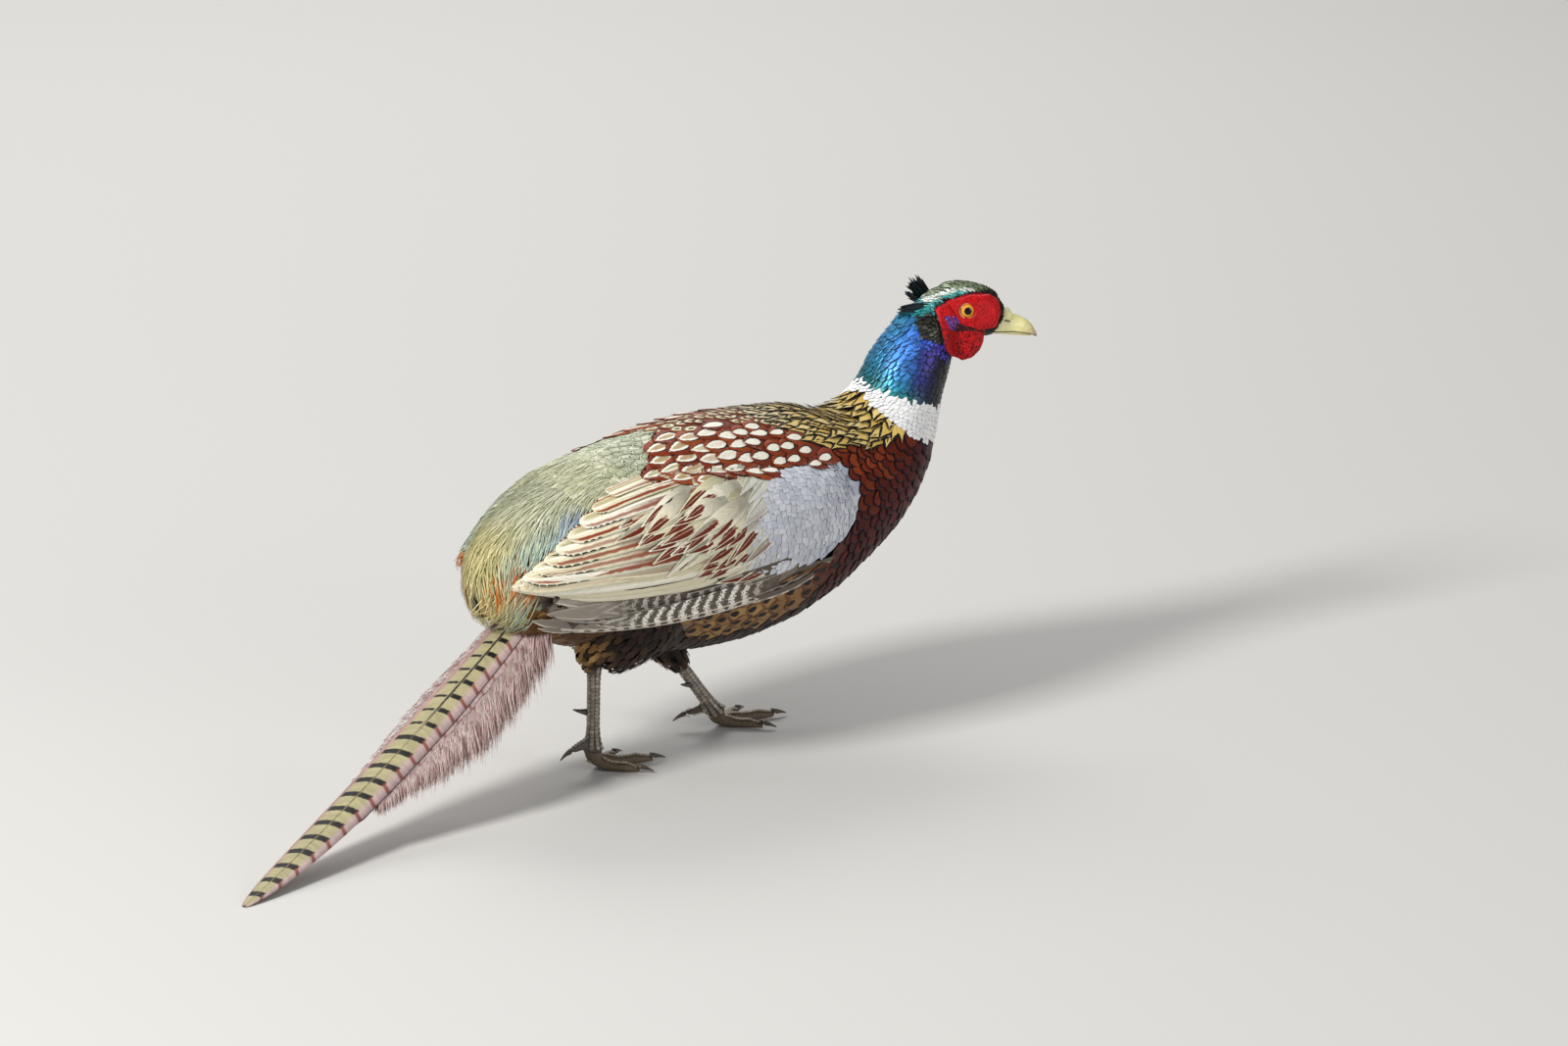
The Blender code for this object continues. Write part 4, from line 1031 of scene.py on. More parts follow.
def onTail(share, across):
    # place, normal, forward and left for arrays of shares of the tail and of metres to the bird's left
    root, bend, tip = (np.array(tail[key]) for key in ("root", "bend", "tip"))
    share = share[..., None]
    centre = root * (1 - share) ** 2 + bend * 2 * share * (1 - share) + tip * share ** 2 + shift
    forward = unit((bend - root) * (1 - share) + (tip - bend) * share)
    left = unit(np.cross(np.array((0.0, 0.0, 1.0)), -forward))
    up = np.cross(left, forward)
    spread = np.hypot(across, tail["ridge"])
    sag = tail["roof"] * (spread - tail["ridge"]) + tail["hang"] * across ** 2
    slope = tail["roof"] * across / spread + 2 * tail["hang"] * across
    normal = unit(up + left * slope[..., None])
    return centre + left * across[..., None] - up * sag[..., None], normal, forward, left


def barPhase(share):
    # which bar a share of the tail has reached; they stand wider apart towards the tip
    first, last = tail["barsAt"]
    return tail["length"] / (last - first) * np.log((first + (last - first) * share) / first)


plainTail = dict(
    slot="tail_feathers", shape="tail", lift=(-.1 * mm, -.1 * mm), camber=0.3 * mm, tilt=0, uneven=0,
    patch=(.02, .8), rootShade=1.0, raggedSize=2.2 * mm,
)
joinAt = 9.3  # the bar from which the bars of both webs join
tailLooks = dict(
    top=plainTail | dict(
        ragged=.1, barbs=(5.0, .14, -.35), tints=("#9a9168", "#a49b74"),
        marks=[
            band("side", .60, 9, .14, "#b59c98"),
            band("side", -9, -.80, .1, "#a8867c"),
            # near the root the left web's bars start nearer the tip
            band("bars", -1, .09, .03, "#100d0a", count=1.0526, start=-.4737,
                 only=[("side", -.82, -.12), ("along", -9, joinAt)]),
            band("bars", -1, .14, .03, "#100d0a", count=1, only=[("side", .06, .56), ("along", -9, joinAt)]),
            band("bars", -1, .16, .03, "#100d0a", count=1, only=[("side", -.88, .62), ("along", joinAt, 99)]),
            band("bars", -1, .10, .05, "#7a3426", count=1, slope=-.7, start=.38, strength=.85,
                 only=[("side", .55, 9)]),
            band("across", -1, .06, .03, "#1c1712", only=[("along", -9, 9)], onlySoft=1.5),
            band("across", -1, .035, .03, "#6d6136", only=[("along", 10, 99)], onlySoft=1.5),
        ],
    ),
    under=plainTail | dict(
        ragged=.15, barbs=(5.0, .2, -.35), fray=.1, even=.9, tints=("#a68b8a", "#b39a96"),
        marks=[band("bars", -1, .08, .05, "#7a3426", count=1, slope=-.5, start=.3, strength=.7)],
    ),
)


def growTail():
    v = np.array(vaneShapes["tail"]["rows"])
    for name, rows, nodes in (("top", tail["feathers"][:tail["topVanes"]], ("tail_middle",)),
                              ("under", tail["feathers"][tail["topVanes"]:], ("tail_right", "tail_left"))):
        start, end, middleStart, middleEnd, width, depth = np.array(rows).T
        share = start[:, None] + (end - start)[:, None] * v
        middle = (middleStart[:, None] + (middleEnd - middleStart)[:, None] * v) * mm

        def lay(reach):
            # u grows to the bird's right, and left is positive on the tail
            wide = middle[:, :, None] - reach
            return onTail(np.broadcast_to(share[:, :, None], wide.shape), wide)[:2]

        look = tailLooks[name]
        count = len(rows)
        place, normal = onTail(share, middle)[:2]
        plan = dict(
            line=place, normal=normal, width=width * mm, tint=shades(dice.random(count), *look["tints"]),
            lot=dice.random((count, 3)), phase=barPhase(share),
            patch=np.stack([0.03 + 0.05 * np.arange(count), np.full(count, 0.1)], 1),
        )
        plan["raise"] = -depth * mm
        growFeathers("tail_vanes_" + name, "tailVane" + name.title(), lay, plan, look, *nodes)


growTail()

fringe = dict(
    slot="tail_feathers", shape="strand", lift=(0.0, 0.0), camber=0.0, tilt=0.0, uneven=0.0, thick=0.5 * mm,
    surface={"Roughness": 0.6, "Specular IOR Level": 0.3, "Sheen Weight": 0.3, "Sheen Roughness": 0.4},
    barbs=(3, .15), rootShade=.9, tucked=1.2 * mm, deep=.010,
    # half the tail's width at shares of its length
    halfAt=[0, .15, .28, .42, .55, .70], half=[.0195, .025, .029, .0245, .0175, .0125],
    # side, number, share from and to, length at both ends and the middle, how far it droops
    rows=[(-1, 3900, .03, .60, (19, 16, 6), .75), (1, 420, .04, .56, (5, 4, 2), .3)],
)


def growFringe():
    v = np.array(vaneShapes["strand"]["rows"])
    lines, tints = [], []
    for sign, count, start, end, lengths, drop in fringe["rows"]:
        place = dice.random(count)
        share = start + (end - start) * place
        half = np.interp(share, fringe["halfAt"], fringe["half"])
        across = sign * (half - dice.random(count) * fringe["deep"])
        point, normal, forward, left = onTail(share, across)
        length = np.interp(place, [0, .45, 1], lengths) * mm * dice.normal(1, .15, count)
        spread = dice.normal(0, .12, count)
        way = unit(left * sign * .55 + forward * (.75 + spread)[:, None] + dice.normal(0, .08, (count, 3)))
        line = point[:, None] + way[:, None] * (v[None] * length[:, None])[..., None]
        line[..., 2] -= drop * length[:, None] * v[None] ** 1.6
        lines.append(line - normal[:, None] * fringe["tucked"])
        # the bars run on into the fringe
        phase = abs((barPhase(share) + .35) % 1 - .5)
        tint = shades(dice.random(count), "#a58480", "#c3a49e", "#dac4ba")
        tints.append(mixed(tint, "#7c4236", smoothStep(.36, .46, phase) * .5))
    line, tint = np.concatenate(lines), np.concatenate(tints)
    count = len(line)
    plan = dict(
        line=line, normal=np.broadcast_to(np.array((0.0, 0.0, 1.0)), line.shape), tint=tint,
        width=dice.normal(.75, .1, count) * mm, lot=dice.random((count, 3)),
        patch=np.stack([np.linspace(0, .98, count), dice.random(count) * .95], 1),
    )
    growFeathers("tail_fringe", "looseBarbs", None, plan, fringe)


growFringe()


def plainPlan(line, normal, width, tint):
    # a plan for feathers that are scattered over a part with no chart of its own
    count = len(line)
    columns = int(math.sqrt(count)) + 1
    patch = np.stack([np.arange(count) % columns, np.arange(count) // columns], 1) / (columns + 1)
    return dict(line=line, normal=normal, width=width, tint=tint, lot=dice.random((count, 3)), patch=patch)


def tangential(way, normal):
    return unit(way - normal * (way * normal).sum(1, keepdims=True))


# Thighs: soft dark feathers down to the hock.
thighs = dict(
    slot="thigh_feathers", spacing=4.6 * mm, length=17, tipShare=.75, lift=(-1.6 * mm, .5 * mm), loose=.25,
    fray=.4, ragged=.3, barbs=(10, .25),
    legs=dict(right=((-.022, -.034, .104), (-.0655, -.022, .0760)),
              left=((.0, .030, .098), (.018, .014, .0635))),  # hip and hock
)


def growThighs():
    ground = groundOf(nodeMesh("thigh_right", "thigh_left", "trunk"), 1.8 * mm, 4)
    parts = []
    for side, joints in thighs["legs"].items():
        hip, hock = np.array(joints) + shift
        reach = hock - hip
        onThigh = distances(surfaceTree(nodeMesh("thigh_" + side)), ground["places"]) < 1.3 * mm
        places, ups = ground["places"][onThigh], ground["normals"][onThigh]
        kept = scattered(places, thighs["spacing"])
        places, ups = places[kept], ups[kept]
        share = ((places - hip) @ reach) / (reach @ reach)
        way = tangential(unit(reach) + dice.normal(0, .1, places.shape), ups)
        length = thighs["length"] * mm * (1 - .35 * np.clip(share, 0, 1))
        tint = shades(dice.random(len(places)), "#1a110b", "#2c1c13", "#46301e", at=(0, .6, 1))
        # the hind edge is buff, as is the loose tuft there
        hind = smoothStep(.5, .95, -ups[:, 0]) * smoothStep(.4, .9, share) * (dice.random(len(places)) < .7)
        tint = mixed(tint, shades(dice.random(len(places)), "#8a6532", "#b38c50"), hind * .8)
        lines = straightLines(places, way, ups, length, "round", thighs["tipShare"])
        parts.append((*lines, length * .5, tint))
    plan = plainPlan(*map(np.concatenate, zip(*parts)))
    growFeathers("coat_thighs", "thighVane", ground, plan, thighs, "thigh_right", "thigh_left")


growThighs()


# The head's small feathers, laid back from the bill round the bare red skin. Spacing, length and width are in
# millimetres at the bill and at the nape.
head = dict(
    slot="neck_feathers", shape="small", lift=(-.7 * mm, .35 * mm), camber=.12 * mm, tilt=.05 * mm,
    thick=.1 * mm, spacing=(1.2, 2.3), length=(3.2, 7.2), width=(2.1, 4.0), fray=.15, ragged=.12,
    surface=glossyVane, barbs=(6, .2), marks=[oval(.5, (.95, .45), .12, "#050709", .9, 9, strength=.35)],
    # what rounds the crown, and the point that the feathers are laid back from
    cap=((0, 0, 10.5), (20, 9.5, 7.0)), source=(24, 0, -3),
    ear=[(-35, -6), (-26, -2), (-17, -3), (-13, -14), (-15, -19), (-24, -18), (-32, -16)],
)
billTree = surfaceTree(nodeMesh("bill_upper", "bill_lower"))


def headTint(q, luck):
    x, y, z = q.T
    tint = shades(luck, "#13787c", "#2aa2a6")
    tint = mixed(tint, shades(luck, "#2450b4", "#3f74e0"), smoothStep(-6, -16, z))
    tint = mixed(tint, shades(luck, "#3a2f9c", "#5a48cc"), smoothStep(-26, -16, x) * smoothStep(-14, -20, z))
    # the lower edges of the turquoise and white bands and of the green crown, as heights along the head
    black = np.interp(x, [-26, -12, -3, 11], [-1, 6.5, 10.5, 13.5])
    white = np.interp(x, [-28, -19, -7, 5, 16], [2, 7, 12.5, 15.0, 16.5])
    crown = np.interp(x, [-31, -22, -9, 5, 16], [3, 8, 14.5, 17.5, 17])
    top = (z > crown) | ((abs(y) < 7) & (z > 4))
    for over, tones in (
            (within(head["ear"], x, z), shades(luck, "#191714", "#38362e", "#64645a", at=(0, .6, 1))),
            ((z > black) & (x > -30), shades(luck, "#3aa6a4", "#7fd8cc")),
            ((z > white) & (x > -30), shades(luck, "#cfdccb", "#eef2e6")),
            (top & (x > -40), shades(luck, "#4f5b44", "#77835f", "#93a07c"))):
        tint = np.where(over[:, None], tones, tint)
    dark = shades(luck, "#050506", "#0b0d12")
    front = smoothStep(10, 14, x + .5 * np.minimum(abs(y) - 6, 0))
    front = front + smoothStep(-13, -19, z) * smoothStep(-10, -2, x)
    chin = smoothStep(11, 7, abs(y)) * smoothStep(-10, -15, z) * smoothStep(-24, -16, x)
    tint = mixed(tint, dark, front + chin)
    # a dark rim runs over the bare skin's upper edge
    return mixed(tint, dark, smoothStep(2.0, 1.2, -wattleEdge(fromHead(q))) * (z > -4))


def growHead():
    bm = nodeMesh("head", "neck")
    addBlob(bm, *head["cap"])
    ground = groundOf(bm, 1.2 * mm, 3)
    places, ups = ground["places"], ground["normals"]
    pick = (headShare(places) > -1) & (wattleEdge(places) < -.3) & (distances(billTree, places) > .4 * mm)
    places, ups = places[pick], ups[pick]
    grown = np.clip((20 - inHead(places)[:, 0]) / 55, 0, 1)
    spacing, length, width = ((low + (high - low) * grown) * mm
                              for low, high in (head["spacing"], head["length"], head["width"]))
    kept = scattered(places, spacing)
    places, ups, length, width = places[kept], ups[kept], length[kept], width[kept]
    q = inHead(places)
    way = unit((q - np.array(head["source"])) @ headAxes.T)
    way = tangential(way + dice.normal(0, .06, way.shape), ups)
    # none lies over the bare skin, in front of it or behind
    clear = wattleEdge(places + way * (length * .4)[:, None]) < .3
    places, ups, q, way, length, width = (values[clear] for values in (places, ups, q, way, length, width))
    length = np.where(wattleEdge(places - way * (length * .6)[:, None]) > 0, length * .4, length)
    line, normal = straightLines(places, way, ups, length, "small", .6)
    plan = plainPlan(line, normal, width, headTint(q, dice.random(len(q))))
    growFeathers("coat_head", "headVane", ground, plan, head, "head")


growHead()


# Ear tufts: narrow feathers, lying back in a block on the right and standing apart on the left.
tufts = dict(
    slot="neck_feathers", shape="pointed", count=64, lift=(0.0, 0.0), camber=.15 * mm, tilt=.1 * mm,
    ragged=.1, barbs=(14, .25),
    surface=glossyVane | {"Roughness": 0.35, "Metallic": 0.4, "Coat Weight": 0.2, "Coat Roughness": 0.25},
    # sign, root, way, how widely the roots lie and the ways spread, length, width and how far the tips rise
    sides=[(-1, (-27, -17.0, -2.0), (-.96, -.06, -.20), (2.0, 1.4, 4.0), .05, 19, 4.2, 0),
           (1, (-22, 11.0, -2.5), (-.84, .20, .42), (3.0, 1.0, 3.6), .22, 17, 3.2, 1.6)],
)


def growTufts():
    v = np.array(vaneShapes["pointed"]["rows"])
    count = tufts["count"]
    parts = []
    for sign, root, way, spread, fan, length, width, rise in tufts["sides"]:
        roots = np.array(root) + dice.uniform(-1, 1, (count, 3)) * spread
        ways = unit(np.array(way) + dice.normal(0, fan, (count, 3)))
        reach = length * dice.uniform(.82, 1, count)
        line = roots[:, None] + ways[:, None] * (v[None] * reach[:, None])[..., None]
        line[..., 2] += rise * v ** 2
        outward = tangential(np.array((.2, sign, .35)) + dice.normal(0, .25, (count, 3)), ways)
        normal = np.repeat((outward @ headAxes.T)[:, None], len(v), axis=1)
        # the lowest ones of the block are teal
        low = smoothStep(.4, -.8, (roots[:, 2] - root[2]) / spread[2]) * (sign < 0)
        tint = mixed(shades(dice.random(count), "#040608", "#0b1c22"), "#0f5e66", low)
        parts.append((fromHead(line), normal, np.full(count, width * mm), tint))
    plan = plainPlan(*map(np.concatenate, zip(*parts)))
    growFeathers("ear_tufts", "earTuftVane", None, plan, tufts, "ear_tuft_right", "ear_tuft_left")


growTufts()


# Eyes: a wet clear ball with an orange iris, and the pale lid round it, in millimetres and degrees.
eyes = dict(
    middle=(-1.5, 11.8, 1.5), radius=6.8, pupil=2.55, iris=4.7, lid=(5.35, 5.0), tube=.62, turned=4, raised=6,
    inner="#f0b24a", orange="#d9801f", outer="#7a3510", white="#20120a", lidPale="#e6bd84", lidDark="#c98a52",
)
sides = (("right", -1), ("left", 1))

# The bare red skin of the face, beaded all over with small papillae.
wattles = dict(
    voxel=.45 * mm, smoothing=10, cell=1.35 * mm, high=(.16 * mm, .34 * mm), socket=5.2, socketDepth=2.6,
    rim=6.6, rimHeight=.5, proud=.8, tucked=1.1, thick=.8 * mm, red="#bc0a12", bright="#ea1e26",
    # dark red of the painted shade in the grooves, also used for the dark line under the eye
    grooveShadeAndLine="#3a0205",
)


def wattleMaterial():
    # a little light goes into the skin; the papillae's tops are lighter red, and the grooves between them are
    # painted almost black as painted shade
    material, tree, shader = newMaterial("warmBareSkin", {
        "Roughness": .5, "Specular IOR Level": .2, "Subsurface Weight": .05,
        "Subsurface Radius": (.002, .0005, .0003),
    })
    place = add(tree, "TexCoord", out=3)
    # red channel: height of a papilla; green: how dark the painted shade in the grooves round it is, and the
    # dark line under the eye
    bead = add(tree, "SeparateColor", add(tree, "Attribute", attribute_name="papilla"))
    raised = add(tree, "MapRange", bead, .25, .95, 0.0, 1.0)
    colour = add(tree, "MixRGB", raised, linear(wattles["red"]), linear(wattles["bright"]))
    # painted shade in the grooves between the papillae, and the dark line under the eye
    grooveShadeAndLine = add(tree, "MapRange", bead, .30, .05, 0.0, 1.0)
    grooveShadeAndLine = add(tree, "Math", grooveShadeAndLine, bead.node.outputs[1], operation="MULTIPLY")
    colour = add(tree, "MixRGB", grooveShadeAndLine, colour, linear(wattles["grooveShadeAndLine"]))
    blotch = add(tree, "TexNoise", place, None, 1 / (6 * mm), 2.0)
    colour = lit(tree, colour, add(tree, "MapRange", blotch, .3, .7, .82, 1.12))
    fine = add(tree, "TexVoronoi", place, None, 1 / (.5 * mm))
    finishSurface(tree, shader, colour, fine, .3, .1 * mm)
    return material


def makeWattles():
    material = wattleMaterial()
    whole = remeshed("face", nodeMesh("head", "neck", "wattle_right", "wattle_left"), wattles["voxel"],
                     wattles["smoothing"])
    for side, sign in sides:
        hanging = surfaceTree(nodeMesh("wattle_" + side))
        bm = bmesh.new()
        bm.from_mesh(whole.data)
        points = pointArray(whole.data)
        x, y, z = inHead(points).T
        # the lobe that hangs free is kept whole, and the rest is cut along the outline
        keep = (wattleEdge(points) > -.6) & (y * sign > wattleGap)
        free = np.nonzero(~keep & (z < -13) & (x > -3) & (y * sign > 0))[0]
        keep[free] = distances(hanging, points[free]) < .6 * mm
        bmesh.ops.delete(bm, geom=[vert for vert, kept in zip(bm.verts, keep) if not kept], context="VERTS")
        thing = makeObject("wattle_skin_" + side, bm, material)
        mesh = thing.data
        mesh.shade_smooth()
        points, normals = pointArray(mesh), pointArray(mesh, "normal")
        x, y, z = inHead(points).T
        loose = smoothStep(-13, -17, z) * smoothStep(-3, 3, x)
        proud, tucked = wattles["proud"], wattles["tucked"]
        lie = (proud + tucked) * smoothStep(-.5, 1.0, wattleEdge(points)) - tucked
        lie = np.maximum(lie, proud * loose) * mm
        # from here on x and z are measured from the eye
        x, z = x - eyes["middle"][0], z - eyes["middle"][2]
        low = smoothStep(-6, -14, z)
        height = np.array([noise.voronoi(point)[0] for point in (points / wattles["cell"]).tolist()])
        bead = np.clip((height[:, 1] - height[:, 0]) * 1.5, 0, 1)
        swell = (wattles["high"][0] + (wattles["high"][1] - wattles["high"][0]) * low) * (bead - .4)
        ring = np.hypot(x, z * 1.06)
        calm = smoothStep(wattles["socket"], wattles["rim"] + 1.5, ring)
        points = points + normals * (swell * calm + lie)[:, None]
        # the socket goes in behind a low rim
        outward = headAxes[:, 1] * sign
        rise = wattles["rimHeight"] * np.exp(-((ring - wattles["rim"]) / 1.1) ** 2)
        sink = wattles["socketDepth"] * smoothStep(wattles["socket"] + .6, wattles["socket"] - .8, ring)
        facing = np.clip(normals @ outward, 0, 1)
        points = points + outward * ((rise - sink) * facing * mm)[:, None]
        mesh.vertices.foreach_set("co", points.ravel())
        # a dark line runs under the eye to the notch in front
        line = np.exp(-((z + 10 + .12 * abs(x - 4)) / .7) ** 2)
        line = line * smoothStep(-6, -2, x) * smoothStep(20, 15, x)
        # green: painted shade in the grooves, stronger on the lower lobe and full along the dark line under
        # the eye
        paint(mesh, "papilla", np.stack([bead - .5 * line, .35 + .65 * np.maximum(low, line), line], 1))
        mesh.update()
        shell = thing.modifiers.new("shell", "SOLIDIFY")
        shell.thickness = wattles["thick"]
        shell.offset = -1
        onBird(thing, "red_face_skin", "wattle_" + side)
        print("wattle", side, len(mesh.polygons))
    bpy.data.objects.remove(whole)


makeWattles()


# Small violet and black feathers on the red skin, behind and under the eye.
spot = dict(
    slot="neck_feathers", shape="small", lift=(-.2 * mm, .35 * mm), camber=.1 * mm, tilt=.04 * mm,
    thick=.1 * mm, spacing=1.1 * mm, length=2.8 * mm, width=1.7 * mm, proud=.7 * mm, fray=.2, ragged=.1,
    surface=glossyVane, barbs=(5, .2), way=(-1.0, 0, -.35),
    outline=[(-16.5, -3.5), (-12, -2.2), (-8, -3.2), (-4.5, -6.5), (1, -8.2), (6, -8.0), (6, -9.4),
             (0, -10.4), (-4.5, -12), (-9.5, -11.5), (-13, -8.5)],
)


def growSpot():
    ground = groundOf(nodeMesh("head", "neck", "wattle_right", "wattle_left"), .6 * mm, 8)
    places, ups = ground["places"], ground["normals"]
    q = inHead(places)
    outside = (ups @ headAxes[:, 1]) * np.sign(q[:, 1]) > .3
    pick = within(spot["outline"], q[:, 0], q[:, 2]) & outside
    places, ups, q = places[pick], ups[pick], q[pick]
    kept = scattered(places, spot["spacing"])
    places, ups, q = places[kept], ups[kept], q[kept]
    count = len(places)
    way = tangential(headAxes @ np.array(spot["way"]) + dice.normal(0, .15, places.shape), ups)
    line, normal = straightLines(places, way, ups, np.full(count, spot["length"]), "small", .6)
    dark = smoothStep(-8.5, -4.5, q[:, 0] - .5 * (q[:, 2] + 7))
    tint = mixed(shades(dice.random(count), "#3c3494", "#6158c8", "#8f86e6"), "#08070c", dark)
    plan = plainPlan(line, normal, np.full(count, spot["width"]), tint)
    plan["raise"] = np.full(count, spot["proud"])
    growFeathers("coat_face", "faceVane", ground, plan, spot)


growSpot()


def corneaMaterial():
    # a clear coat gives the wet highlight over the matt iris
    material, tree, shader = newMaterial("wetCornea", {
        "Roughness": .5, "Coat Weight": .8, "Coat Roughness": .02, "Coat IOR": 1.38,
        "Specular IOR Level": 0.0,
    })
    ring = add(tree, "Attribute", attribute_name="ring", out=2)
    rays = add(tree, "TexNoise", add(tree, "TexCoord", out=3), None, 1 / (.7 * mm), 3.0)
    pupil, iris = eyes["pupil"], eyes["iris"]
    share = add(tree, "MapRange", ring, pupil, iris - .3, 0.0, 1.0)
    glow = add(tree, "MixRGB", share, linear(eyes["inner"]), linear(eyes["orange"]))
    glow = lit(tree, glow, add(tree, "MapRange", rays, .3, .7, .8, 1.15))
    # the iris's dark edge, what lies round it and the pupil
    for start, end, colour in ((iris - .45, iris, linear(eyes["outer"])),
                               (iris, iris + .2, linear(eyes["white"])),
                               (pupil + .08, pupil - .08, (0.002, 0.002, 0.002, 1))):
        glow = add(tree, "MixRGB", add(tree, "MapRange", ring, start, end, 0.0, 1.0), glow, colour)
    tree.links.new(glow, shader.inputs["Base Color"])
    return material


def lidMaterial():
    # thin dry skin, darker in its wrinkles
    material, tree, shader = newMaterial("thinLidSkin", {"Roughness": .45, "Specular IOR Level": .5})
    wrinkle = add(tree, "TexNoise", add(tree, "TexCoord", out=3), None, 1 / (.9 * mm), 2.0)
    share = add(tree, "MapRange", wrinkle, .35, .7, 0.0, 1.0)
    colour = add(tree, "MixRGB", share, linear(eyes["lidPale"]), linear(eyes["lidDark"]))
    finishSurface(tree, shader, colour, wrinkle, .5, .15 * mm)
    return material


def lidMesh(matrix):
    across, high = eyes["lid"]
    bm = bmesh.new()
    height = math.sqrt(eyes["radius"] ** 2 - high ** 2)
    start = Matrix.Translation((across, 0, height)) @ Matrix.Rotation(math.radians(90), 4, "X")
    bmesh.ops.create_circle(bm, cap_ends=False, radius=eyes["tube"], segments=12, matrix=start)
    bmesh.ops.spin(bm, geom=bm.verts[:] + bm.edges[:], cent=(0, 0, 0), axis=(0, 0, 1), angle=math.tau,
                   steps=72, use_merge=True)
    bmesh.ops.remove_doubles(bm, verts=bm.verts, dist=1e-4)
    bmesh.ops.recalc_face_normals(bm, faces=bm.faces)
    for vert in bm.verts:
        # a little almond: lower across than along, with drawn corners
        around = math.atan2(vert.co.y, vert.co.x)
        vert.co.y *= high / across
        vert.co.x *= 1 + .05 * math.cos(around) ** 8
    bmesh.ops.scale(bm, verts=bm.verts, vec=(mm, mm, mm))
    bmesh.ops.transform(bm, matrix=matrix, verts=bm.verts)
    return bm


def makeEyes():
    cornea, lidSkin = corneaMaterial(), lidMaterial()
    x, y, z = eyes["middle"]
    for side, sign in sides:
        # the ball's pole points outwards and a little forward
        turn = Matrix.Rotation(math.radians(eyes["turned"] * -sign), 3, "Z")
        turn = turn @ Matrix.Rotation(math.radians((eyes["raised"] - 90) * sign), 3, "X")
        axes = Matrix(headAxes.tolist()) @ turn
        centre = Vector(fromHead((x, sign * y, z)))
        matrix = Matrix.Translation(centre) @ axes.to_4x4()
        bm = bmesh.new()
        bmesh.ops.create_uvsphere(bm, u_segments=64, v_segments=48, radius=eyes["radius"] * mm, matrix=matrix)
        ball = makeObject("eyeball_" + side, bm, cornea)
        ball.data.shade_smooth()
        # how far each point lies from the pole's axis, and much further behind
        local = (pointArray(ball.data) - np.array(centre)) @ np.array(axes) / mm
        layer = ball.data.attributes.new("ring", "FLOAT", "POINT")
        layer.data.foreach_set("value", np.hypot(local[:, 0], local[:, 1]) + 20.0 * (local[:, 2] < 0))
        onBird(ball, "eye", "eye_" + side)
        lid = makeObject("eyelid_" + side, lidMesh(matrix), lidSkin)
        lid.data.shade_smooth()
        onBird(lid, "red_face_skin")


makeEyes()


# The bill: waxy horn, with a pale flap over the nostril, a dark gape and a worn greyer tip.
bill = dict(
    voxel=.45 * mm, smoothing=3, flap=((27.2, 2.3, 1.4), (3.7, 3.0, 3.4)), gape="#3a2f1c",
    tints=("#eee6a4", "#f8f2b8", "#f6eca2", "#d8ca92", "#a4967e"), tintsAt=(14, 24, 38, 46, 51),
    # the culmen, the gape and the mandible's lower edge as heights along the bill
    along=[18, 24, 33, 38.5, 44, 47.5, 50, 52], culmen=[.5, 1.2, 1.7, 1.2, -1.75, -4.6, -7.6, -12.0],
    line=[-11.4, -10.4, -8.9, -8.8, -9.0, -9.5, -10.2, -12.8],
    lower=[-14, -13.2, -12.3, -11.8, -11.2, -10.9, -10.9, -13],
)


def billMesh(name, lowKey, highKey):
    bm = nodeMesh(name)
    q = inHead([vert.co for vert in bm.verts])
    # each section is stretched between the bill's true edges
    bins = np.linspace(q[:, 0].min(), q[:, 0].max(), 14)
    spans = [q[abs(q[:, 0] - x) < 2.6, 2] for x in bins]
    low, high = (np.interp(q[:, 0], bins, [edge(span) for span in spans]) for edge in (np.min, np.max))
    share = (q[:, 2] - low) / np.maximum(high - low, .3)
    start, end = (np.interp(q[:, 0], bill["along"], bill[key]) for key in (lowKey, highKey))
    q[:, 2] = start + (end - start) * np.clip(share, 0, 1)
    for vert, place in zip(bm.verts, fromHead(q).tolist()):
        vert.co = place
    return bm


def makeBill():
    material, tree, shader = newMaterial("waxyHorn", {
        "Roughness": .38, "Specular IOR Level": .5, "Coat Weight": .2, "Coat Roughness": .3,
        "Subsurface Weight": .05,
    })
    streak = add(tree, "TexNoise", add(tree, "TexCoord", out=3), None, 1 / (1.6 * mm), 3.0)
    light = add(tree, "MapRange", streak, .3, .7, .88, 1.08)
    colour = lit(tree, add(tree, "Attribute", attribute_name="tint"), light)
    finishSurface(tree, shader, colour, streak, .25, .12 * mm)
    for name, lowKey, highKey, shade in (("bill_upper", "line", "culmen", 1),
                                         ("bill_lower", "lower", "line", .92)):
        bm = billMesh(name, lowKey, highKey)
        if name == "bill_upper":
            (x, y, z), radii = bill["flap"]
            for sign in (1, -1):
                addBlob(bm, (x, sign * y, z), radii)
        thing = remeshed(name.replace("bill", "horn"), bm, bill["voxel"], bill["smoothing"], material)
        x, y, z = inHead(pointArray(thing.data)).T
        # painted shade: the lower mandible is drawn 8% darker than the upper
        tint = shades(x, *bill["tints"], at=bill["tintsAt"]) * shade
        gape = smoothStep(.60, .25, abs(z - np.interp(x, bill["along"], bill["line"])))
        tint = mixed(tint, bill["gape"], gape * .9)
        slit = np.hypot((x - 28) / 2.4, (z + 2.6) / .55)
        tint = mixed(tint, bill["gape"], smoothStep(1.2, .7, slit) * (name == "bill_upper"))
        paint(thing.data, "tint", tint)
        onBird(thing, "bill_horn", name)
        print(name, len(thing.data.polygons))


makeBill()


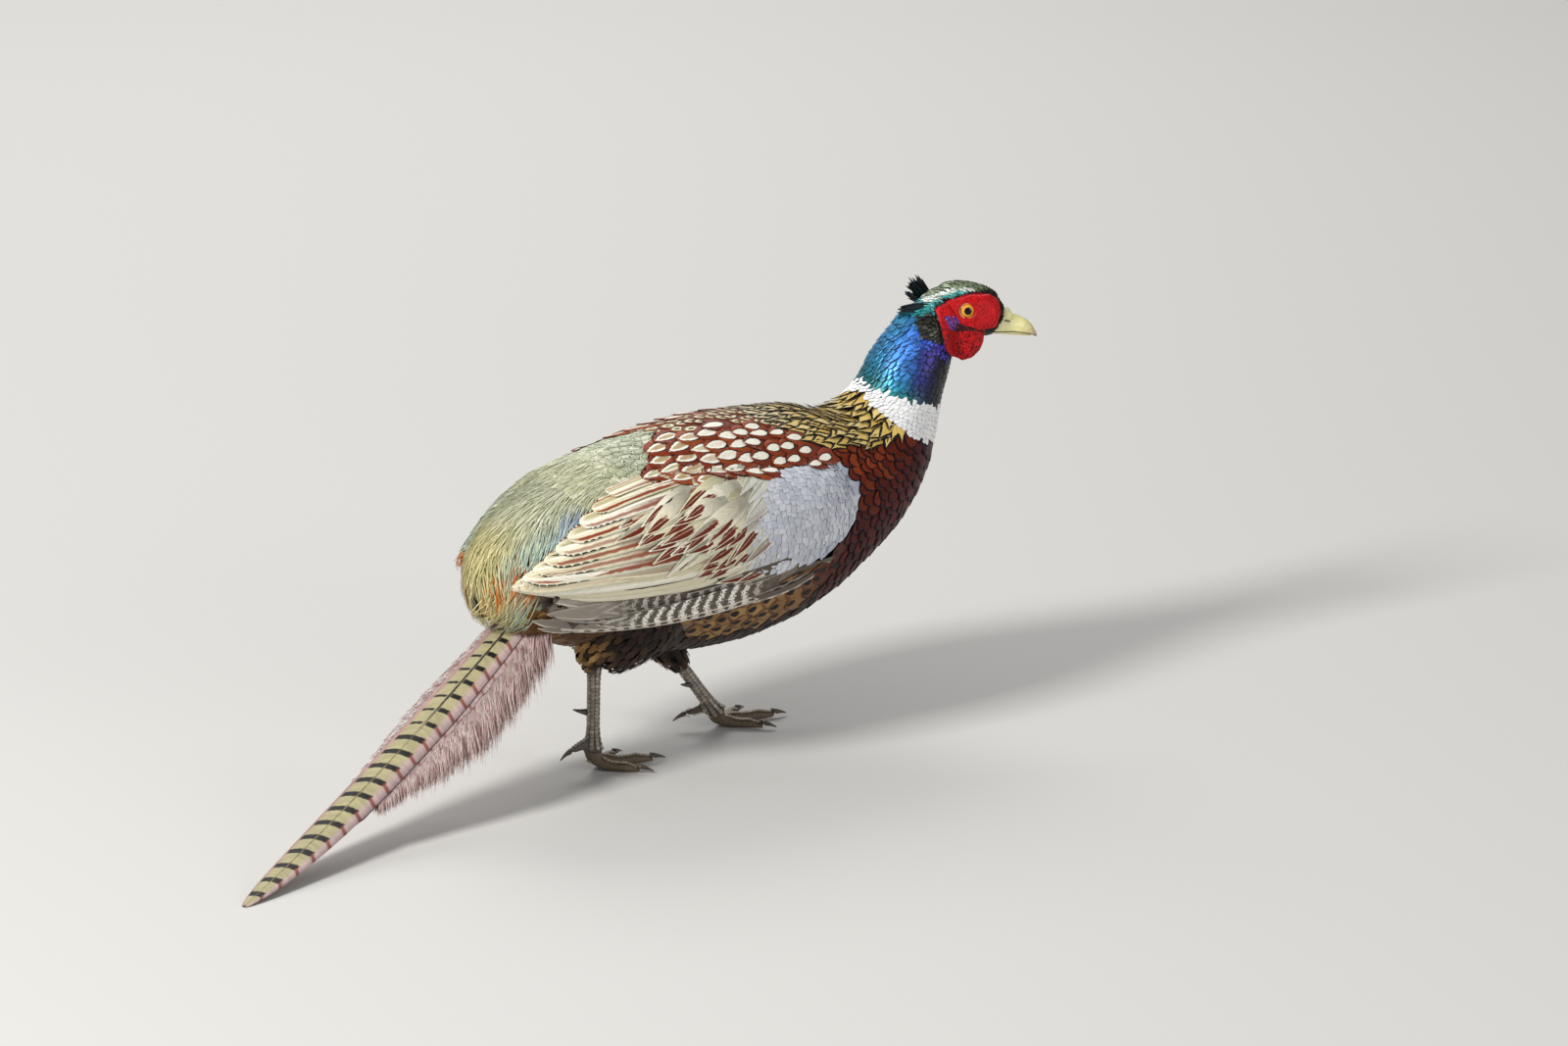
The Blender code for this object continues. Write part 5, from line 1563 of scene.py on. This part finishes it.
# Legs: overlapping scutes down the front of the shank and along each toe.
legs = dict(
    slot="leg_scales", shape="shield", lift=(-.1 * mm, .4 * mm), camber=.12 * mm, tilt=0, uneven=.02 * mm,
    thick=.2 * mm, ragged=.06, surface={"Roughness": .5, "Specular IOR Level": .45, "Coat Weight": .1},
    barbs=(3, .12), rootShade=.8, marks=[oval(.45, (.95, .5), .1, "#4a4239", .9, 9, strength=.7)],
    # hock, foot and heading in degrees
    joints=dict(right=((-.0655, -.022, .0760), (-.0640, -.018, .0130), -14),
                left=((.018, .014, .0635), (.0555, .004, .0085), -10)),
    # turn round the shank from its front, spacing down it, length and width in millimetres
    rows=[(-27, 3.4, 5.2, 5.0), (27, 3.4, 5.2, 5.0), (78, 2.6, 3.8, 3.4), (-78, 2.6, 3.8, 3.4),
          (122, 2.6, 3.6, 3.4), (-122, 2.6, 3.6, 3.4), (165, 3.0, 4.2, 3.6), (-165, 3.0, 4.2, 3.6)],
    toes=["toe_inner", "toe_middle", "toe_outer", "toe_hind"], toeRow=(2.3, 3.6, 5.2),
)
legNodes = [part + "_" + side for side, sign in sides for part in ["shank"] + legs["toes"]]


def shankSpots(ground, hock, foot, heading):
    # place, way, length and width of each scute on a shank
    spots = []
    down = unit(foot - hock)
    ahead = np.array((math.cos(math.radians(heading)), math.sin(math.radians(heading)), 0))
    ahead = unit(ahead - down * (ahead @ down))
    left = np.cross(ahead, down)
    away = .02
    for turn, step, length, width in legs["rows"]:
        outward = ahead * math.cos(math.radians(turn)) + left * math.sin(math.radians(turn))
        first = -.003 + step * mm * (abs(turn) % 2) / 2
        for at in np.arange(first, np.linalg.norm(foot - hock) - .002, step * mm):
            start = Vector(hock + down * at + outward * away)
            hit = ground["tree"].ray_cast(start, Vector(-outward), away)[0]
            if hit:
                spots.append((hit, down, length, width))
    return spots


def toeSpots(ground, foot, toe):
    # the same from above along a toe
    spots = []
    step, length, width = legs["toeRow"]
    points = pointArray(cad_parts[toe].data)
    flat = foot * (1, 1, 0)
    tip = points[np.argmax(np.linalg.norm((points - flat)[:, :2], axis=1))]
    reach = (tip - flat) * (1, 1, 0)
    way = unit(reach)
    above = .03
    for at in np.arange(.004, np.linalg.norm(reach), step * mm):
        start = Vector(flat + way * at + np.array((0, 0, above)))
        hit = ground["tree"].ray_cast(start, Vector((0, 0, -1)), above)[0]
        if hit:
            spots.append((hit, way - np.array((0, 0, .15)), length, width))
    return spots


def growScutes():
    ground = groundOf(nodeMesh(*legNodes), .8 * mm, 3)
    spots = []
    for side, (hock, foot, heading) in legs["joints"].items():
        hock, foot = np.array(hock) + shift, np.array(foot) + shift
        spots += shankSpots(ground, hock, foot, heading)
        for toe in legs["toes"]:
            spots += toeSpots(ground, foot, toe + "_" + side)
    place, way, length, width = (np.array(values) for values in zip(*spots))
    up = np.array([ground["tree"].find_nearest(point)[1] for point in place.tolist()])
    line, normal = straightLines(place, tangential(way, up), up, length * mm, "shield", .6)
    luck = dice.random(len(spots))
    tint = mixed(shades(luck, "#7d7468", "#988e80", "#b0a593"), shades(luck, "#8c7c66", "#ac9a80"),
                 smoothStep(.016, .008, place[:, 2]))
    growFeathers("leg_scutes", "scute", ground, plainPlan(line, normal, width * mm, tint), legs)


growScutes()


# Claws and spurs: dark horn, mottled paler in its grain.
claws = dict(
    dark="#2c241c", pale="#6a5c4a", parts=["claw_inner", "claw_middle", "claw_outer", "claw_hind", "spur"],
)


def makeClaws():
    material, tree, shader = newMaterial("darkHorn", {
        "Roughness": .35, "Specular IOR Level": .5, "Coat Weight": .2,
    })
    grain = add(tree, "TexNoise", add(tree, "TexCoord", out=3), None, 1 / (1.2 * mm), 3.0)
    share = add(tree, "MapRange", grain, .35, .7, 0.0, 1.0)
    colour = add(tree, "MixRGB", share, linear(claws["dark"]), linear(claws["pale"]))
    finishSurface(tree, shader, colour, grain, .3, .1 * mm)
    names = [part + "_" + side for side, sign in sides for part in claws["parts"]]
    bm = nodeMesh(*names)
    bmesh.ops.recalc_face_normals(bm, faces=bm.faces)
    thing = makeObject("claws", bm, material)
    thing.data.shade_smooth()
    onBird(thing, "claw_horn", *names)


makeClaws()


# The skin: one surface under all the feathers, inside the coat. It lies deeper than the CAD's surface by the
# depths here, which run into each other over some rounds of blending.
skinLook = dict(
    voxel=1.7 * mm, smoothing=3, blending=9, bodyDepth=3.0 * mm, neckDepth=2.0 * mm, headDepth=1.2 * mm,
    legDepth=0.4 * mm, wingReach=4.5 * mm, wingDepth=2.4 * mm, shank="#5f574d", sole="#6e604c",
)
fleshNodes = ["trunk", "neck", "head", "wing_right", "wing_left", "thigh_right", "thigh_left"] + legNodes
fillingNodes = ["wattle_right", "wattle_left", "eye_right", "eye_left"]


def skinMaterial():
    # the sole and the back of the shank carry small round scales, about 1.3 mm across
    material, tree, shader = newMaterial("bareSkin", {"Roughness": 0.62, "Specular IOR Level": .35})
    cells = add(tree, "TexVoronoi", add(tree, "TexCoord", out=3), None, 1 / (1.3 * mm))
    # the scales are painted lighter on their domes and darker towards their edges, as painted shade in the
    # grooves between them
    light = add(tree, "MapRange", cells, .1, .7, 1.08, .8)
    colour = lit(tree, add(tree, "Attribute", attribute_name="tint"), light)
    finishSurface(tree, shader, colour, cells, .4, .15 * mm).invert = True
    return material


def blended(mesh, depth, onLeg):
    # each point's depth becomes its neighbours' mean, and never more on the legs
    edges = np.empty(len(mesh.edges) * 2, int)
    mesh.edges.foreach_get("vertices", edges)
    edges = edges.reshape(-1, 2)
    tally = np.bincount(edges.ravel(), minlength=len(depth))
    for _ in range(skinLook["blending"]):
        total = np.bincount(edges[:, 0], depth[edges[:, 1]], len(depth))
        total += np.bincount(edges[:, 1], depth[edges[:, 0]], len(depth))
        depth = np.where(onLeg, np.minimum(depth, total / tally), total / tally)
    return depth


def makeSkin():
    skin = remeshed("skin", nodeMesh(*fleshNodes, *fillingNodes), skinLook["voxel"], skinLook["smoothing"],
                    skinMaterial())
    mesh = skin.data
    points, normals = pointArray(mesh), pointArray(mesh, "normal")
    ahead = headShare(points)
    depth = np.full(len(points), skinLook["bodyDepth"])
    depth += (skinLook["neckDepth"] - skinLook["bodyDepth"]) * smoothStep(-60, -30, ahead)
    depth += (skinLook["headDepth"] - skinLook["neckDepth"]) * smoothStep(-12, 4, ahead)
    onLeg = np.zeros(len(points), bool)
    low = np.nonzero(points[:, 2] < .09)[0]
    onLeg[low] = distances(surfaceTree(nodeMesh(*legNodes)), points[low]) < 1.2 * mm
    depth[onLeg] = skinLook["legDepth"]
    points -= normals * blended(mesh, depth, onLeg)[:, None]
    # at the thin wing tips it stays under the ground that the feathers lie on
    wings = surfaceTree(nodeMesh("wing_right", "wing_left"))
    winged = np.nonzero((points[:, 2] > .085) & (ahead < -40))[0]
    winged = winged[distances(wings, points[winged]) < skinLook["wingReach"]]
    for i in winged:
        place, normal = bodyGround["tree"].find_nearest(Vector(points[i]))[:2]
        if (Vector(points[i]) - place).dot(normal) > -skinLook["wingDepth"]:
            points[i] = place - normal * skinLook["wingDepth"]
    mesh.vertices.foreach_set("co", points.ravel())
    # each point takes the colour of the nearest feather's root, darkened as painted shade
    places, tints = (np.concatenate(values) for values in zip(*rootMarks))
    roots = treeOf(places)
    tint = np.array([tints[roots.find(point)[1]] for point in points.tolist()])
    tint[onLeg] = shades(smoothStep(.014, .007, points[onLeg][:, 2]), skinLook["shank"], skinLook["sole"])
    paint(mesh, "tint", tint)
    mesh.update()
    onBird(skin, "body_feathers", *fleshNodes)
    print("skin", len(mesh.polygons))


makeSkin()
